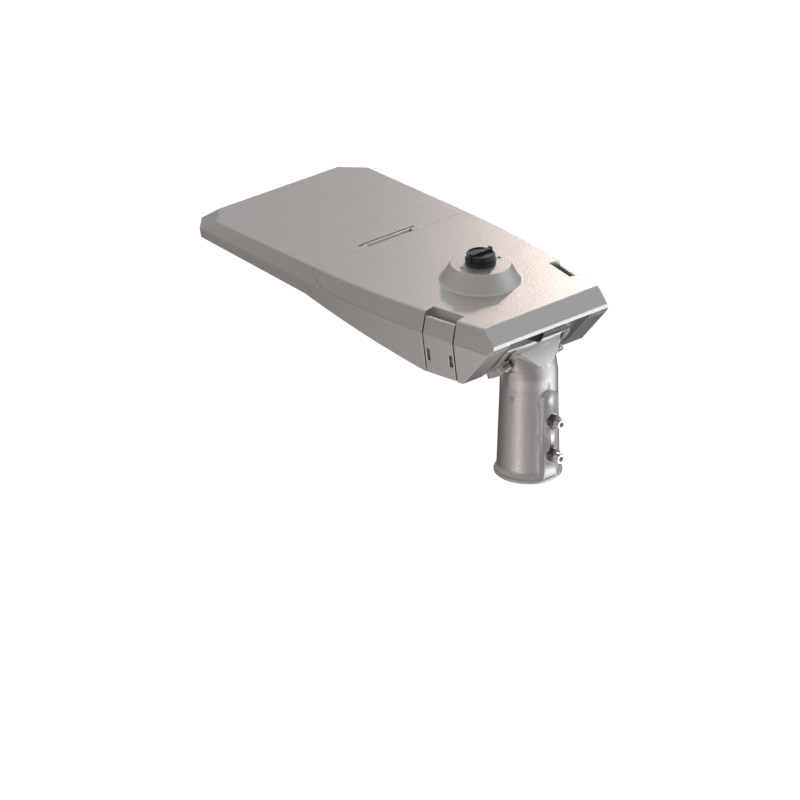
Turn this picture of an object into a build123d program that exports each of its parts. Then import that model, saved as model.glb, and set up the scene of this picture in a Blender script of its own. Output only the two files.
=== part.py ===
from build123d import *
import math
import os

os.makedirs("parts", exist_ok=True)

# LED street light head on a tilting pole-top adaptor.
# Origin: centre of the pole socket's mouth. +Z up the pole, +X towards the light end.

# Head outline, seen from above
TOP_Z = 229.0
TOP_FRONT_X = 469.0
TOP_SIDE_Y = 128.0
TOP_CORNER_CUT = 28.0
WIDE_FRONT_X = 490.0
WIDE_SIDE_Y = 135.0
WIDE_CORNER_CUT = 22.5
SIDE_ARC_X = 255.5
SIDE_ARC_R = 1186.0
LOWER_DRAFT = 9.0
TOP_BEVEL = 1.2

# Head outline, seen from the side
PARTING_Z = 200.0
PARTING_SLOPE = 1.53
LIGHT_END_Z = 201.7
LIGHT_END_X = 500.0
BEND_X = 268.0
BEND_Z = 189.0
TUB_FRONT_X = 64.0
TUB_Z = 145.4
TUB_REAR_X = 11.0
REAR_FACE_X = -37.0
REAR_FACE_Z = 203.0
REAR_LIP_X = -38.7
REAR_LIP_Z = 205.8
REAR_SLOPE_X = -38.0
REAR_SLOPE_Z = 210.5
REAR_TOP_X = -20.5
RAMP_BLEND_R = 60.0

# Walls and gaps of the head
RIM_W = 9.0
FLOOR_T = 3.5
LID_T = 3.5
LID_WALL = 10.0
SEAM_GAP = 0.6
SEAM_FOOT_X = 216.0
BULKHEAD_X = 208.0
JUNCTION_X = 257.0
JUNCTION_Z = 214.0
JUNCTION_WALL = 4.0
TUB_BACK_X = -5.0
CLEAR = 0.3

# Lid hinge
HINGE_X = 263.5
HINGE_DROP = 3.0
HINGE_SWING = 8.85
KNUCKLE_R = 3.0
KNUCKLE_HALF = 38.0
HINGE_PIN_R = 1.5
HINGE_PIN_HALF = 44.0
PIN_ACCESS_L = 3.0
PIN_ACCESS_W = 3.5
PIN_FIT = 0.05
TONGUE_T = 3.0

# Lid gasket
GASKET_OUTER = 6.0
GASKET_INNER = 2.0
GASKET_DEEP = 1.5

# Latches
LATCH_X = 65.0
LATCH_Y = 110.6
LATCH_TURN = 10.2
LATCH_L = 44.7
LATCH_GAP = 1.9
LATCH_TOP_Z = 223.0
LATCH_FOOT_Z = 146.6
LATCH_SKIN = 3.0
LATCH_RIM = 3.6
LATCH_STEP_Z = 174.0
LATCH_STEP_Y = 3.0
LATCH_PIVOT_Z = 153.5
LATCH_BARREL_R = 3.6
LATCH_PIN_R = 1.5
LATCH_PIN_PAST = 5.0
LATCH_SWEEP_R = 8.8
LATCH_HOLE_W = 5.0
LATCH_HOLE_H = 17.0
LATCH_HOLE_Z = 173.0
LATCH_HOLE_EDGE = 2.6
NOTCH_Z = 214.0
NOTCH_FOOT = 10.0
NOTCH_TOP = 14.8
LATCH_BOSS_Y = 84.5
LATCH_BOSS_PAST = 9.0

# Tilt saddle between head and adaptor
TILT_X = 82.5
TILT_Z = 231.4
FLANGE_OUT_R = 110.0
FLANGE_T = 8.0
FLANGE_TOP_ANGLE = 26.2
FLANGE_END_ANGLE = 57.0
FLANGE_HALF = 56.0
FLANGE_CORNER_R = 6.0
TONGUE_END_ANGLE = 67.0
TONGUE_HALF = 35.0
TILT_RANGE_ANGLE = 10.0
SADDLE_HALF = 68.0
SADDLE_WALL = 5.0
BOLT_ANGLE = 41.5
BOLT_Y = 43.0
BOLT_R = 4.0
BOLT_AF = 13.0
BOLT_HEAD_T = 8.0
BOLT_DEEP = 15.0
BOLT_BOSS_R = 9.0
SLOT_PLAY = 0.5
WASHER_R = 8.0
WASHER_T = 1.8
HEAD_BEVEL = 0.8

# Adaptor casting
POLE_R = 30.0
POLE_FIT = 0.3
SOCKET_DEEP = 100.0
SOCKET_FOOT_R = 39.4
SOCKET_TOP_R = 36.3
SOCKET_TOP_Z = 115.0
LIP_R = 42.8
LIP_H = 5.0
LIP_BEVEL = 1.5
PAD_X = -40.0
PAD_HALF = 11.5
PAD_TOP_Z = 122.0
PAD_RIB_HALF = 3.7
PAD_RIB_X = -43.7
SCREW_Z = (36.0, 83.0)
SCREW_R = 5.0
SCREW_HEAD_R = 6.5
SCREW_HEAD_T = 9.5
SCREW_KEY_AF = 6.0
SCREW_KEY_DEEP = 5.0
NUT_AF = 16.0
NUT_T = 8.0
BOSS_R = 10.7
BOSS_T = 2.0
NECK_BACK_X = -38.3
NECK_BACK_Z = 114.1
NECK_BACK_R = 117.4
NECK_TOP_Z = 182.8
FAN_HALF = 52.7
FAN_WAIST = 33.5
PASSAGE_R = 17.0

# Pedestal, receptacle and cap
PED_X = 89.4
PED_FOOT_R = 50.6
PED_TOP_R = 37.5
PED_H = 22.6
PED_T = 3.5
PED_BLEND = 1.4
SEAL_T = 0.8
RECEPT_FLANGE_R = 19.0
RECEPT_FLANGE_T = 2.0
RECEPT_BODY_R = 15.5
RECEPT_DEEP = 24.0
RECEPT_RIM_R = 14.0
RECEPT_RIM_H = 6.0
CONTACT_W = 4.0
CONTACT_T = 1.2
CONTACT_TURN = 45
LOCKNUT_AF = 38.0
LOCKNUT_T = 5.0
CAP_SKIRT_R = 19.6
CAP_SKIRT_H = 3.0
CAP_R = 18.0
CAP_H = 10.5
CAP_T = 2.4
CAP_BEVEL = 1.2
CAP_DISH = 1.2
CAP_BAR_H = 3.6
CAP_BAR_W = 6.0
CAP_BAR_END = 3.0
CAP_BAR_BEVEL = 0.75
CAP_KNOB_R = 4.0
CAP_HORN_L = 9.0
PED_SCREW_OUT = 28.4
PED_SCREW_TURN = 7.5

# Small pan-head screws
SMALL_HEAD_R = 2.6
SMALL_HEAD_T = 1.3
SMALL_SCREW_R = 1.5
SMALL_SCREW_L = 4.5

# Light compartment
LIGHT_REAR_X = 272.0
LIGHT_BACK = 6.0
FRAME_INSET = 7.0
FRAME_T = 3.0
FRAME_SINK = 0.5
FRAME_WIDTH = 27.0
SEAL_H = 1.0
SEAL_W = 4.5
LIGHT_WALL = 13.0
GLASS_LAP = 8.0
GLASS_T = 4.0
LIGHT_ROOF = 5.0
PLATEAU_T = 5.0
PILLAR_R = 5.0
PILLAR_IN = 17.0
FRAME_SCREW_R = 2.0
FRAME_SCREW_L = 10.0
BOARD_X = 376.0
BOARD_Y = 48.0
BOARD_L = 148.0
BOARD_W = 88.0
BOARD_T = 1.6
LENS_COUNT = 4
LENS_R = 8.4
LENS_H = 5.5
LENS_BASE_T = 2.0
LENS_MARGIN = 3.0
LENS_SCREW_IN = 4.6
LENS_WAIST_R = 6.7
LENS_TIP_R = 2.8
POCKET = 5.2
CHIP = 3.5
CHIP_T = 0.8
CLIP_W = 12.0
CLIP_T = 0.8
CLIP_FOOT = 9.0
CLIP_LAP = 3.0
CLIP_APART = 42.0

# Gear
TRAY_Z = 181.0
TRAY_T = 1.5
TRAY_X0 = 112.0
TRAY_X1 = 202.0
TRAY_SIDE = 22.0
TRAY_LIP = 4.0
TRAY_HOLE_IN = 12.0
TRAY_BOSS_R = 5.0
DRIVER_L = 140.0
DRIVER_W = 72.0
DRIVER_H = 32.0
DRIVER_X = 157.0
DRIVER_CORNER_R = 4.0
DRIVER_FOOT = 10.0
DRIVER_FOOT_W = 48.0
DRIVER_FOOT_T = 3.0
SPD_L = 46.0
SPD_W = 23.0
SPD_H = 30.0
SPD_Y = 44.0
BLOCK_L = 46.0
BLOCK_W = 22.0
BLOCK_H = 24.0
BLOCK_Y = -44.0
BLOCK_POLES = 3
BLOCK_WIRE_R = 3.4
BLOCK_SCREW_R = 2.6
GEAR_GAP = 1.0
GLAND_R = 10.0
GLAND_AF = 24.0
GLAND_HEX_T = 8.0
GLAND_DOME_R = 10.5
GLAND_DOME_T = 14.0
GLAND_TIP_R = 7.6
GLAND_HOLE_R = 5.0
GLAND_THREAD_L = 4.0
GLAND_SEAT_R = 14.2

SQRT2 = math.sqrt(2.0)
SQRT3 = math.sqrt(3.0)
QUARTER_TURNS = (0, 90, 180, 270)
PEG_SIDES = 12
TRAY_HALF = DRIVER_L / 2 + TRAY_SIDE
HINGE_Z = TOP_Z - HINGE_DROP
WASHER_ROOM = WASHER_T + BOLT_HEAD_T + SLOT_PLAY * 4
FLANGE_IN_R = FLANGE_OUT_R - FLANGE_T
SADDLE_R = FLANGE_IN_R - CLEAR
PED_TOP_Z = TOP_Z + PED_H
PARTING = Plane(
    origin=(0, 0, PARTING_Z),
    x_dir=(math.cos(math.radians(PARTING_SLOPE)), 0, math.sin(math.radians(PARTING_SLOPE))),
    z_dir=(-math.sin(math.radians(PARTING_SLOPE)), 0, math.cos(math.radians(PARTING_SLOPE))),
)
UNDER_SLOPE = math.degrees(math.atan2(LIGHT_END_Z - BEND_Z, LIGHT_END_X - BEND_X))
UNDER = Plane(
    origin=(0, 0, BEND_Z - BEND_X * math.tan(math.radians(UNDER_SLOPE))),
    x_dir=(math.cos(math.radians(UNDER_SLOPE)), 0, math.sin(math.radians(UNDER_SLOPE))),
    z_dir=(-math.sin(math.radians(UNDER_SLOPE)), 0, math.cos(math.radians(UNDER_SLOPE))),
)


def parting_z(x):
    """Height of the parting line at x."""
    return PARTING_Z + x * math.tan(math.radians(PARTING_SLOPE))


def prism(sketch_xz, half):
    """A side-view outline widened by half to each side of the centre plane."""
    return extrude(Plane.XZ * sketch_xz, amount=half, both=True)


def box_between(x0, x1, y0, y1, z0, z1):
    """A block given by its two corners."""
    centre = ((x0 + x1) / 2, (y0 + y1) / 2, (z0 + z1) / 2)
    return Pos(*centre) * Box(x1 - x0, y1 - y0, z1 - z0)


def mirrored(shape):
    """The same shape on the other side of the centre plane."""
    return mirror(shape, about=Plane.XZ)


def hexagon(across_flats, height):
    """A hexagonal prism that stands on z = 0."""
    return extrude(RegularPolygon(radius=across_flats / 2, side_count=6, major_radius=False), amount=height)


def rod(radius, height):
    """A round bar that stands on z = 0."""
    return extrude(Circle(radius), amount=height)


def hex_head(across_flats, height):
    """A hexagonal head that stands on z = 0, with the corners of its top turned off at 30 degrees."""
    top_r = across_flats / 2 - HEAD_BEVEL / 2
    return hexagon(across_flats, height) & standing_cone(top_r + height * SQRT3, top_r, height)


def peg(radius, height):
    """A plain screw's shank or head on z = 0, as a many-sided bar inside its circle."""
    return extrude(RegularPolygon(radius=radius, side_count=PEG_SIDES), amount=height)


def peg_hole(radius, height):
    """The room for a peg of that radius."""
    outline = RegularPolygon(radius=radius, side_count=PEG_SIDES, major_radius=False)
    return extrude(outline, amount=height)


def peg_cone(foot_r, top_r, height):
    """A countersunk head on z = 0, with as many sides as a peg."""
    foot = RegularPolygon(radius=foot_r, side_count=PEG_SIDES)
    top = RegularPolygon(radius=top_r, side_count=PEG_SIDES)
    return loft([foot, Pos(0, 0, height) * top], ruled=True)


def standing_cone(foot_r, top_r, height):
    """A cone frustum that stands on z = 0."""
    return Cone(foot_r, top_r, height, align=(Align.CENTER, Align.CENTER, Align.MIN))


def plan(front_x, side_y, corner_cut, rear_x, inset=0.0):
    """Plan of the head: straight nose, 45 degree corners, straight sides, then sides that curve in."""
    nose = front_x - inset
    side = side_y - inset
    bevel = front_x + side_y - corner_cut - inset * SQRT2
    radius = SIDE_ARC_R - inset

    def side_at(x):
        return side - radius + math.sqrt(radius**2 - (SIDE_ARC_X - x) ** 2)

    mid_x = (SIDE_ARC_X + rear_x) / 2
    half = [
        Line((nose, 0), (nose, bevel - nose)),
        Line((nose, bevel - nose), (bevel - side, side)),
        Line((bevel - side, side), (SIDE_ARC_X, side)),
        ThreePointArc((SIDE_ARC_X, side), (mid_x, side_at(mid_x)), (rear_x, side_at(rear_x))),
        Line((rear_x, side_at(rear_x)), (rear_x, 0)),
    ]
    other = [mirror(edge, about=Plane.XZ) for edge in half]
    return make_face(Curve() + half + other)


def side_profile(inset=0.0):
    """Side view of the head, from the sloped tail to past the nose."""
    points = [
        (REAR_TOP_X, TOP_Z),
        (LIGHT_END_X, TOP_Z),
        (LIGHT_END_X, LIGHT_END_Z),
        (BEND_X, BEND_Z),
        (TUB_FRONT_X, TUB_Z),
        (TUB_REAR_X, TUB_Z),
        (REAR_FACE_X, REAR_FACE_Z),
        (REAR_LIP_X, REAR_LIP_Z),
        (REAR_SLOPE_X, REAR_SLOPE_Z),
    ]
    outline = make_face(Polyline(*points, close=True))
    ramp_foot = outline.vertices().sort_by_distance((TUB_FRONT_X, TUB_Z))[0]
    outline = fillet(ramp_foot, RAMP_BLEND_R)
    if inset:
        outline = offset(outline, amount=-inset, kind=Kind.INTERSECTION)
    return outline


def head_form(inset=0.0):
    """The closed outer form of the head, or the same form shrunk by inset on every side."""
    rear = REAR_LIP_X - RIM_W
    depth = TOP_Z - TUB_Z
    lean = depth * math.tan(math.radians(LOWER_DRAFT))
    top = Pos(0, 0, TOP_Z) * plan(TOP_FRONT_X, TOP_SIDE_Y, TOP_CORNER_CUT, rear, inset)
    wide = PARTING * plan(WIDE_FRONT_X, WIDE_SIDE_Y, WIDE_CORNER_CUT, rear, inset)
    low = PARTING.offset(-depth) * plan(WIDE_FRONT_X, WIDE_SIDE_Y, WIDE_CORNER_CUT, rear, inset + lean)
    upper = loft([top, wide], ruled=True)
    lower = loft([wide, low], ruled=True)
    return (upper + lower) & prism(side_profile(inset), WIDE_SIDE_Y + RIM_W)


def outer_form():
    """The head's outer form with the thin bevel round its top face."""
    form = head_form()
    top = form.faces().sort_by(Axis.Z)[-1]
    return chamfer(top.edges(), TOP_BEVEL)


def lid_zone(gap=0.0):
    """Side view of the space that the lid fills. The housing gives it gap more room."""
    foot_x = SEAM_FOOT_X
    far_x = REAR_LIP_X - RIM_W
    high = TOP_Z + PED_H
    swing = HINGE_SWING - gap
    lift = SEAM_GAP - gap
    seam_x = HINGE_X - swing
    top_x = HINGE_X - math.sqrt(swing**2 - HINGE_DROP**2)
    mid_a = math.asin(HINGE_DROP / swing) / 2
    mid = (HINGE_X - swing * math.cos(mid_a), HINGE_Z + swing * math.sin(mid_a))
    foot_z = parting_z(foot_x) + lift
    curve = EllipticalCenterArc((foot_x, HINGE_Z), seam_x - foot_x, HINGE_Z - foot_z, 270, arc_size=90)
    edges = [
        Line((far_x, parting_z(far_x) + lift), (foot_x, foot_z)),
        curve,
        ThreePointArc((seam_x, HINGE_Z), mid, (top_x, TOP_Z)),
        Line((top_x, TOP_Z), (top_x, high)),
        Line((top_x, high), (far_x, high)),
        Line((far_x, high), (far_x, parting_z(far_x) + lift)),
    ]
    return make_face(Curve() + edges)


def tilt_point(radius, angle):
    """A point around the tilt axis, angle counted from straight back towards straight down."""
    turn = math.radians(angle)
    return (TILT_X - radius * math.cos(turn), TILT_Z - radius * math.sin(turn))


def tilt_sector(r0, r1, a0, a1):
    """Side view of a piece of ring around the tilt axis."""
    mid = (a0 + a1) / 2
    edges = [
        ThreePointArc(tilt_point(r0, a0), tilt_point(r0, mid), tilt_point(r0, a1)),
        Line(tilt_point(r0, a1), tilt_point(r1, a1)),
        ThreePointArc(tilt_point(r1, a1), tilt_point(r1, mid), tilt_point(r1, a0)),
        Line(tilt_point(r1, a0), tilt_point(r0, a0)),
    ]
    return make_face(Curve() + edges)


def tilt_drum(radius, half):
    """A drum about the tilt axis."""
    return prism(Pos(TILT_X, TILT_Z) * Circle(radius), half)


def tilt_frame(radius, angle, y=0.0):
    """A place on the saddle whose z axis points away from the tilt axis."""
    x, z = tilt_point(radius, angle)
    turn = math.radians(angle)
    return Plane(origin=(x, y, z), x_dir=(0, 1, 0), z_dir=(-math.cos(turn), 0, -math.sin(turn)))


def latch_frame(shape):
    """Places a shape made along X in the slot of the +Y latch, which follows the head's side."""
    return Pos(LATCH_X, LATCH_Y, 0) * Rot(0, 0, LATCH_TURN) * shape


def latch_prism(points, x0, x1):
    """A block along the latch with the given outline in the latch's own Y and Z."""
    face = make_face(Polyline(*points, close=True))
    return latch_frame(Pos(x0, 0, 0) * extrude(Plane.YZ * face, amount=x1 - x0))


def latch_rod(radius, x0, x1):
    """A round bar on the latch's pivot line."""
    return latch_frame(Pos(x0, -LATCH_STEP_Y, LATCH_PIVOT_Z) * Rot(0, 90, 0) * rod(radius, x1 - x0))


def latch_recess():
    """The slot in the head for the +Y latch, with the finger notch above it."""
    low = LATCH_FOOT_Z - LATCH_SWEEP_R
    deep = LATCH_STEP_Y + LATCH_SWEEP_R
    shoulder = LATCH_PIVOT_Z + LATCH_SWEEP_R
    points = [
        (WIDE_SIDE_Y, TOP_Z + LID_T),
        (-NOTCH_TOP, TOP_Z + LID_T),
        (-NOTCH_TOP, TOP_Z),
        (-NOTCH_FOOT, NOTCH_Z),
        (-CLEAR, NOTCH_Z),
        (-CLEAR, LATCH_STEP_Z + LATCH_STEP_Y + CLEAR),
        (-LATCH_STEP_Y - CLEAR, LATCH_STEP_Z + CLEAR),
        (-deep, shoulder),
        (-deep, low),
        (WIDE_SIDE_Y, low),
    ]
    return latch_prism(points, -LATCH_L - LATCH_GAP, LATCH_GAP)


def latch_bosses(grow=0.0):
    """The blocks of metal behind both latches, which the hollows of tub and lid leave standing."""
    block = box_between(
        LATCH_X - LATCH_L - LATCH_BOSS_PAST + grow,
        LATCH_X + LATCH_BOSS_PAST - grow,
        LATCH_BOSS_Y + grow,
        WIDE_SIDE_Y,
        TUB_Z,
        TOP_Z,
    )
    return block + mirrored(block)


def rim_outline(grow=0.0):
    """Plan of the tub's mouth, or the same line moved outwards by grow."""
    mouth = plan(WIDE_FRONT_X, WIDE_SIDE_Y, WIDE_CORNER_CUT, REAR_LIP_X, RIM_W - grow)
    x0 = TUB_BACK_X - grow
    x1 = BULKHEAD_X + grow
    mouth = mouth & (Pos((x0 + x1) / 2, 0) * Rectangle(x1 - x0, WIDE_SIDE_Y * 2))
    boss_x0 = LATCH_X - LATCH_L - LATCH_BOSS_PAST + grow
    boss_x1 = LATCH_X + LATCH_BOSS_PAST - grow
    boss_y = LATCH_BOSS_Y + grow
    for side in (1, -1):
        boss = Pos((boss_x0 + boss_x1) / 2, side * (boss_y + WIDE_SIDE_Y) / 2)
        mouth = mouth - boss * Rectangle(boss_x1 - boss_x0, WIDE_SIDE_Y - boss_y)
    return mouth


def light_outline(inset):
    """Plan of the light compartment, inset from the head's widest line."""
    shape = plan(WIDE_FRONT_X, WIDE_SIDE_Y, WIDE_CORNER_CUT, LIGHT_REAR_X - LIGHT_BACK, inset)
    x0 = LIGHT_REAR_X + inset - FRAME_INSET
    return shape & (Pos((x0 + WIDE_FRONT_X) / 2, 0) * Rectangle(WIDE_FRONT_X - x0, WIDE_SIDE_Y * 2))


def under_plate(sketch, low, high):
    """A plate parallel to the sloped underside, between two depths above it."""
    return extrude(UNDER.offset(low) * sketch, amount=high - low)


def ramp_z(x):
    """Height of the ramp's line under the tub at x."""
    return BEND_Z - (BEND_X - x) * (BEND_Z - TUB_Z) / (BEND_X - TUB_FRONT_X)


def frame_screw_spots():
    """Where the glass frame is screwed up, as X and Y along the underside."""
    front = WIDE_FRONT_X - PILLAR_IN
    side = WIDE_SIDE_Y - PILLAR_IN
    rear = LIGHT_REAR_X + PILLAR_IN - FRAME_INSET
    corner_sum = WIDE_FRONT_X + WIDE_SIDE_Y - WIDE_CORNER_CUT - PILLAR_IN * SQRT2
    corner_x = (corner_sum - side + front) / 2
    corner_y = corner_sum - corner_x
    middle = (rear + corner_x) / 2
    spots = [(front, 0), (rear, 0)]
    for sign in (1, -1):
        spots += [(rear, sign * side), (middle, sign * side), (corner_x, sign * corner_y)]
    return spots


def slab_drum_wall():
    """The metal that stays between the tub and the tilt saddle."""
    block = box_between(REAR_LIP_X, TILT_X, -SADDLE_HALF - SADDLE_WALL, SADDLE_HALF + SADDLE_WALL, 0, TOP_Z)
    return block - tilt_drum(SADDLE_R - SADDLE_WALL, WIDE_SIDE_Y)


def tub_hollow():
    """The gear tub under the lid."""
    lean = (TOP_Z - TUB_Z) * math.tan(math.radians(LOWER_DRAFT))
    mouth = PARTING.offset(CLEAR) * plan(WIDE_FRONT_X, WIDE_SIDE_Y, WIDE_CORNER_CUT, REAR_LIP_X, RIM_W)
    low = PARTING.offset(TUB_Z - TOP_Z)
    low = low * plan(WIDE_FRONT_X, WIDE_SIDE_Y, WIDE_CORNER_CUT, REAR_LIP_X, RIM_W + lean)
    hollow = loft([low, mouth], ruled=True)
    hollow = hollow & prism(side_profile(FLOOR_T), WIDE_SIDE_Y)
    hollow = hollow & box_between(TUB_BACK_X, JUNCTION_X, -WIDE_SIDE_Y, WIDE_SIDE_Y, 0, TOP_Z)
    shelf = prism(lid_zone(SEAM_GAP + JUNCTION_WALL), WIDE_SIDE_Y)
    shelf = shelf & box_between(BULKHEAD_X, TOP_FRONT_X, -WIDE_SIDE_Y, WIDE_SIDE_Y, 0, TOP_Z)
    roof = box_between(BULKHEAD_X, TOP_FRONT_X, -WIDE_SIDE_Y, WIDE_SIDE_Y, JUNCTION_Z, TOP_Z)
    return hollow - shelf - roof - latch_bosses() - slab_drum_wall()


def light_hollow():
    """The stepped recess for frame, seals, glass and boards, open downwards."""
    seat = FRAME_SINK + FRAME_T
    mouth = under_plate(light_outline(FRAME_INSET), -FRAME_T, seat)
    room = under_plate(light_outline(LIGHT_WALL), seat, TOP_Z) & head_form(LIGHT_ROOF)
    room = room + under_plate(light_outline(LIGHT_WALL), seat, seat + LIGHT_ROOF)
    plateau_z = TOP_Z - LIGHT_ROOF - PLATEAU_T
    for y in (-BOARD_Y, BOARD_Y):
        room = room - Pos(BOARD_X, y, plateau_z + PLATEAU_T / 2) * Box(BOARD_L, BOARD_W, PLATEAU_T)
    room = room + under_plate(light_outline(FRAME_INSET), seat, seat + SEAL_H)
    for x, y in frame_screw_spots():
        room = room - UNDER * Pos(x, y, seat) * rod(PILLAR_R, TOP_Z - PARTING_Z)
    return mouth + room


def make_housing():
    """The main casting: gear tub, light compartment, latch slots and tilt saddle in one."""
    body = outer_form()
    body = body - prism(lid_zone(SEAM_GAP), WIDE_SIDE_Y + RIM_W)
    body = body - tub_hollow() - light_hollow()
    tail = box_between(REAR_LIP_X - RIM_W, TILT_X, -SADDLE_HALF, SADDLE_HALF, 0, TOP_Z)
    body = body - (tail - tilt_drum(SADDLE_R, SADDLE_HALF + RIM_W))
    recess = latch_recess()
    body = body - recess - mirrored(recess)
    groove = rim_outline(GASKET_OUTER) - rim_outline(GASKET_INNER)
    body = body - extrude(PARTING.offset(-GASKET_DEEP) * groove, amount=GASKET_DEEP + CLEAR)
    for y in (-BOLT_Y, BOLT_Y):
        seat = tilt_frame(SADDLE_R - BOLT_DEEP, BOLT_ANGLE, y)
        body = body + seat * rod(BOLT_BOSS_R, BOLT_DEEP - SADDLE_WALL / 2)
        body = body - seat * rod(BOLT_R + PIN_FIT, BOLT_DEEP + CLEAR)
    seat = tilt_frame(SADDLE_R - SADDLE_WALL * 2, BOLT_ANGLE)
    body = body - seat * rod(GLAND_R + PIN_FIT, SADDLE_WALL * 3) - seat * rod(GLAND_SEAT_R, SADDLE_WALL)
    for x, y in tray_spots():
        floor_z = ramp_z(x)
        post = Pos(x, y, floor_z + FLOOR_T / 2) * rod(TRAY_BOSS_R, TRAY_Z - floor_z - FLOOR_T / 2)
        hole = Pos(x, y, TRAY_Z - SMALL_SCREW_L) * peg_hole(SMALL_SCREW_R + PIN_FIT, SMALL_SCREW_L)
        body = body + (post - hole)
    body = body + floor_pads()
    body = body - hinge_pocket() - Pos(HINGE_X, HINGE_PIN_HALF, HINGE_Z) * Rot(90, 0, 0) * rod(
        HINGE_PIN_R + PIN_FIT, HINGE_PIN_HALF * 2
    )
    pin = latch_rod(LATCH_PIN_R + PIN_FIT, -LATCH_L - LATCH_GAP - LATCH_PIN_PAST, LATCH_GAP + LATCH_PIN_PAST)
    body = body - pin - mirrored(pin)
    pilot = peg_hole(FRAME_SCREW_R + PIN_FIT, FRAME_SINK + FRAME_SCREW_L + CLEAR)
    for x, y in frame_screw_spots():
        body = body - UNDER * Pos(x, y, 0) * pilot
    return body - lens_screw_holes(BOARD_Y) - lens_screw_holes(-BOARD_Y)


def hinge_pocket():
    """The room that the housing leaves for the lid's knuckle and tongue."""
    room = KNUCKLE_R + SEAM_GAP
    half = KNUCKLE_HALF + CLEAR
    back = box_between(
        HINGE_X - HINGE_SWING - room, HINGE_X, -half, half, HINGE_Z - KNUCKLE_R - SEAM_GAP, TOP_Z + room
    )
    front = box_between(HINGE_X, HINGE_X + room, -half, half, HINGE_Z, TOP_Z + room)
    room_half = HINGE_PIN_HALF + PIN_ACCESS_L
    access = box_between(HINGE_X, HINGE_X + PIN_ACCESS_W, -room_half, room_half, HINGE_Z, TOP_Z + room)
    return back + front + access + Pos(HINGE_X, half, HINGE_Z) * Rot(90, 0, 0) * rod(room, half * 2)


def make_lid():
    """The hinged cover: sloped tail, finger notches, hinge knuckle and the pedestal on top."""
    body = outer_form() & prism(lid_zone(), WIDE_SIDE_Y + RIM_W)
    foot = Pos(PED_X, 0, TOP_Z)
    blend = standing_cone(PED_FOOT_R + PED_BLEND, PED_FOOT_R - PED_BLEND, PED_BLEND)
    body = body + foot * (standing_cone(PED_FOOT_R, PED_TOP_R, PED_H) + blend)
    recess = latch_recess()
    body = body - recess - mirrored(recess)
    hollow = extrude(PARTING.offset(-CLEAR) * rim_outline(), amount=TOP_Z - PARTING_Z)
    hollow = hollow & box_between(TUB_BACK_X, BULKHEAD_X, -WIDE_SIDE_Y, WIDE_SIDE_Y, 0, TOP_Z - LID_T)
    inside = plan(WIDE_FRONT_X, WIDE_SIDE_Y, WIDE_CORNER_CUT, REAR_LIP_X, LID_WALL)
    inside = Pos(0, 0, PARTING_Z) * extrude(inside, amount=TOP_Z - PARTING_Z - LID_T)
    front = prism(lid_zone(-LID_T), WIDE_SIDE_Y) & inside
    front = front & box_between(BULKHEAD_X - RIM_W, HINGE_X, -WIDE_SIDE_Y, WIDE_SIDE_Y, 0, TOP_Z)
    tail = head_form(LID_T) & box_between(
        REAR_LIP_X, TUB_BACK_X - RIM_W, -WIDE_SIDE_Y, WIDE_SIDE_Y, PARTING_Z - RIM_W, TOP_Z
    )
    cup = standing_cone(PED_FOOT_R - PED_T, PED_TOP_R - PED_T, PED_H - PED_T + LID_T)
    cup = foot * Pos(0, 0, -LID_T) * cup
    under = box_between(REAR_LIP_X - RIM_W, TILT_X, -SADDLE_HALF, SADDLE_HALF, 0, REAR_LIP_Z)
    under = under - tilt_drum(SADDLE_R, SADDLE_HALF + RIM_W)
    body = body - (hollow + front) - tail - cup - under
    body = body - foot * rod(RECEPT_BODY_R + PIN_FIT, PED_H)
    for place in pedestal_screw_places():
        body = body - place * Pos(0, 0, TOP_Z) * peg_hole(SMALL_SCREW_R + PIN_FIT, PED_H)
    return body + make_knuckle()


def make_knuckle():
    """The lid's hinge barrel with the tongue that carries it."""
    barrel = Pos(HINGE_X, KNUCKLE_HALF, HINGE_Z) * Rot(90, 0, 0) * rod(KNUCKLE_R, KNUCKLE_HALF * 2)
    tongue = box_between(
        HINGE_X - HINGE_SWING - LID_T / 2, HINGE_X, -KNUCKLE_HALF, KNUCKLE_HALF, HINGE_Z - TONGUE_T, HINGE_Z
    )
    bore = Pos(HINGE_X, KNUCKLE_HALF, HINGE_Z) * Rot(90, 0, 0) * rod(HINGE_PIN_R + PIN_FIT, KNUCKLE_HALF * 2)
    return (barrel + tongue) - bore


def make_latch():
    """The +Y latch: a ribbed cast plate that hangs on its pin at the foot of the slot."""
    points = [
        (WIDE_SIDE_Y, LATCH_TOP_Z),
        (0, LATCH_TOP_Z),
        (0, LATCH_STEP_Z + LATCH_STEP_Y),
        (-LATCH_STEP_Y, LATCH_STEP_Z),
        (-LATCH_STEP_Y, LATCH_FOOT_Z),
        (WIDE_SIDE_Y, LATCH_FOOT_Z),
    ]
    plate = latch_prism(points, -LATCH_L, 0) & head_form()
    hollow_top = LATCH_TOP_Z - LATCH_RIM
    hollow = latch_prism(
        [(WIDE_SIDE_Y, hollow_top), (-RIM_W, hollow_top), (-RIM_W, 0), (WIDE_SIDE_Y, 0)],
        -LATCH_L + LATCH_RIM,
        -LATCH_RIM,
    )
    plate = plate - (head_form(LATCH_SKIN) & hollow)
    plate = plate + latch_rod(LATCH_BARREL_R, -LATCH_L, 0)
    plate = plate - latch_rod(LATCH_PIN_R + PIN_FIT, -LATCH_L, 0)
    hole_z = LATCH_HOLE_Z - LATCH_HOLE_H / 2
    for x in (-LATCH_HOLE_EDGE - LATCH_HOLE_W, LATCH_HOLE_EDGE - LATCH_L):
        hole = box_between(x, x + LATCH_HOLE_W, -RIM_W, WIDE_SIDE_Y, hole_z, hole_z + LATCH_HOLE_H)
        plate = plate - latch_frame(hole)
    return plate


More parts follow.
